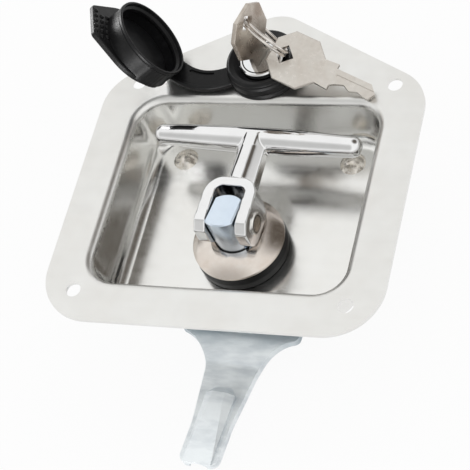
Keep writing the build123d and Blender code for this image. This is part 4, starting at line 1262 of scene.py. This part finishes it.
@dataclass
class Studio:
    """Floor, lamps, world and camera."""

    white: Triple = (1.0, 1.0, 1.0)
    room_tone: Triple = (1.0, 1.0, 0.99)
    room_level: float = 1.03
    plain_light: float = 0.85
    horizon_tone: Triple = (0.42, 0.41, 0.40)
    horizon_low: float = 0.0
    horizon_high: float = 0.24
    dark_corners: tuple[DarkCorner, ...] = (
        DarkCorner((-0.36, -0.59, 0.72), 0.80, 0.97, (0.60, 0.60, 0.59)),
        DarkCorner((0.40, 0.60, 0.69), 0.82, 0.965, (0.12, 0.105, 0.09)),
        DarkCorner((-0.76, 0.59, 0.26), 0.93, 0.975, (0.05, 0.045, 0.04)),
    )
    soft_boxes: tuple[SoftBox, ...] = (
        SoftBox("overhead_box", (0.20, 0.30, 0.95), 0.5, 0.9, glossy=False),
        SoftBox("left_box", (-0.85, 0.38, 0.35), 0.35, 11.0, RUBBER, diffuse=False),
        SoftBox("front_box", (0.05, -1.0, 0.06), 0.45, 14.0, RUBBER, diffuse=False),
        SoftBox("lever_fill", (-0.60, -0.70, 0.40), 0.25, 5.0, LEVER_ZINC),
    )

    floor_size: float = 4.0
    floor_glow: float = 0.93
    floor_tones: tuple[Triple, Triple] = ((0.86, 0.86, 0.86), (0.84, 0.84, 0.84))
    speckle_scale: float = 40.0

    lens: float = 121.27
    sensor: float = 36.0
    camera_place: Triple = (0.210155, -0.287977, 0.44286)
    camera_turn: Triple = (0.58941918, 0.29731826, 0.24118251)
    camera_sight: float = 20.0

    def build(self) -> None:
        """Set up everything round the object."""
        self.make_floor()
        self.make_world()
        for box in self.soft_boxes:
            box.hang()
        self.make_camera()
        bpy.context.scene.view_settings.view_transform = "Standard"

    def make_camera(self) -> None:
        """Stand the camera where the photograph was taken from."""
        data = bpy.data.cameras.new("photograph_camera")
        data.lens = self.lens
        data.sensor_width = self.sensor
        data.clip_end = self.camera_sight
        camera = bpy.data.objects.new("photograph_camera", data)
        bpy.context.scene.collection.objects.link(camera)
        camera.matrix_world = Matrix.LocRotScale(Vector(self.camera_place), Euler(self.camera_turn), None)
        bpy.context.scene.camera = camera

    def make_floor(self) -> None:
        """Pale floor that shows as white behind the object and keeps its shadow."""
        work = bmesh.new()
        bmesh.ops.create_grid(work, x_segments=1, y_segments=1, size=self.floor_size,
                              matrix=Matrix.Translation((0, 0, FLOOR_Z)))
        floor = link_mesh("pale_floor", work)
        material = bpy.data.materials.new("pale_floor_paint")
        material.use_nodes = True
        sheet = NodeSheet(material.node_tree)
        tone = sheet.blend(sheet.noise(self.speckle_scale), *self.floor_tones)
        paint = sheet.add("ShaderNodeBsdfDiffuse", {"Color": tone})
        glow = sheet.add("ShaderNodeEmission", {"Color": self.white, "Strength": 1.0})
        path = sheet.add("ShaderNodeLightPath")
        seen = sheet.maths("MAXIMUM", sheet.straight(path), path.outputs["Is Glossy Ray"])
        surface = sheet.mixed(sheet.maths("MULTIPLY", seen, self.floor_glow), paint, glow)
        sheet.add("ShaderNodeOutputMaterial", {"Surface": surface.outputs[0]})
        floor.data.materials.append(material)
        floor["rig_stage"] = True

    def make_world(self) -> None:
        """White to look at, plain soft light, and for polished metal a bright room with darker corners."""
        world = bpy.data.worlds.new("studio_surround")
        bpy.context.scene.world = world
        world.use_nodes = True
        sheet = NodeSheet(world.node_tree)
        direction = sheet.add("ShaderNodeTexCoord").outputs["Generated"]
        room = self.room_tone
        for corner in self.dark_corners:
            closeness = sheet.vector_maths("DOT_PRODUCT", "Value", direction, corner.towards)
            room = sheet.blend(sheet.spread(closeness, corner.starts, corner.full), room, corner.tone)
        off_level = sheet.maths("ABSOLUTE", sheet.along(direction, "Z"))
        low_share = sheet.spread(off_level, self.horizon_high, self.horizon_low)
        room = sheet.blend(low_share, room, self.horizon_tone)
        levels = (self.white, self.plain_light), (room, self.room_level), (self.white, 1.0)
        lit, mirrored, seen = (
            sheet.add("ShaderNodeBackground", {"Color": tone, "Strength": strength})
            for tone, strength in levels)
        path = sheet.add("ShaderNodeLightPath")
        unseen = sheet.mixed(path.outputs["Is Glossy Ray"], lit, mirrored)
        surface = sheet.mixed(sheet.straight(path), unseen, seen)
        sheet.add("ShaderNodeOutputWorld", {"Surface": surface.outputs[0]})


def main(cad_box: object) -> None:
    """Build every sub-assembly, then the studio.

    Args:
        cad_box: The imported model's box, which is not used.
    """
    logging.basicConfig(level=logging.INFO, format="%(name)s %(message)s")
    for assembly in (DishAssembly(), SpindleAssembly(), HandleAssembly(), LockAssembly(),
                     KeyAssembly(), CollarMoulding(), StrapMoulding(), CapMoulding(), Studio()):
        assembly.build()
        LOG.info("built %s", type(assembly).__name__)


if __name__ == "__main__":
    main(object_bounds())
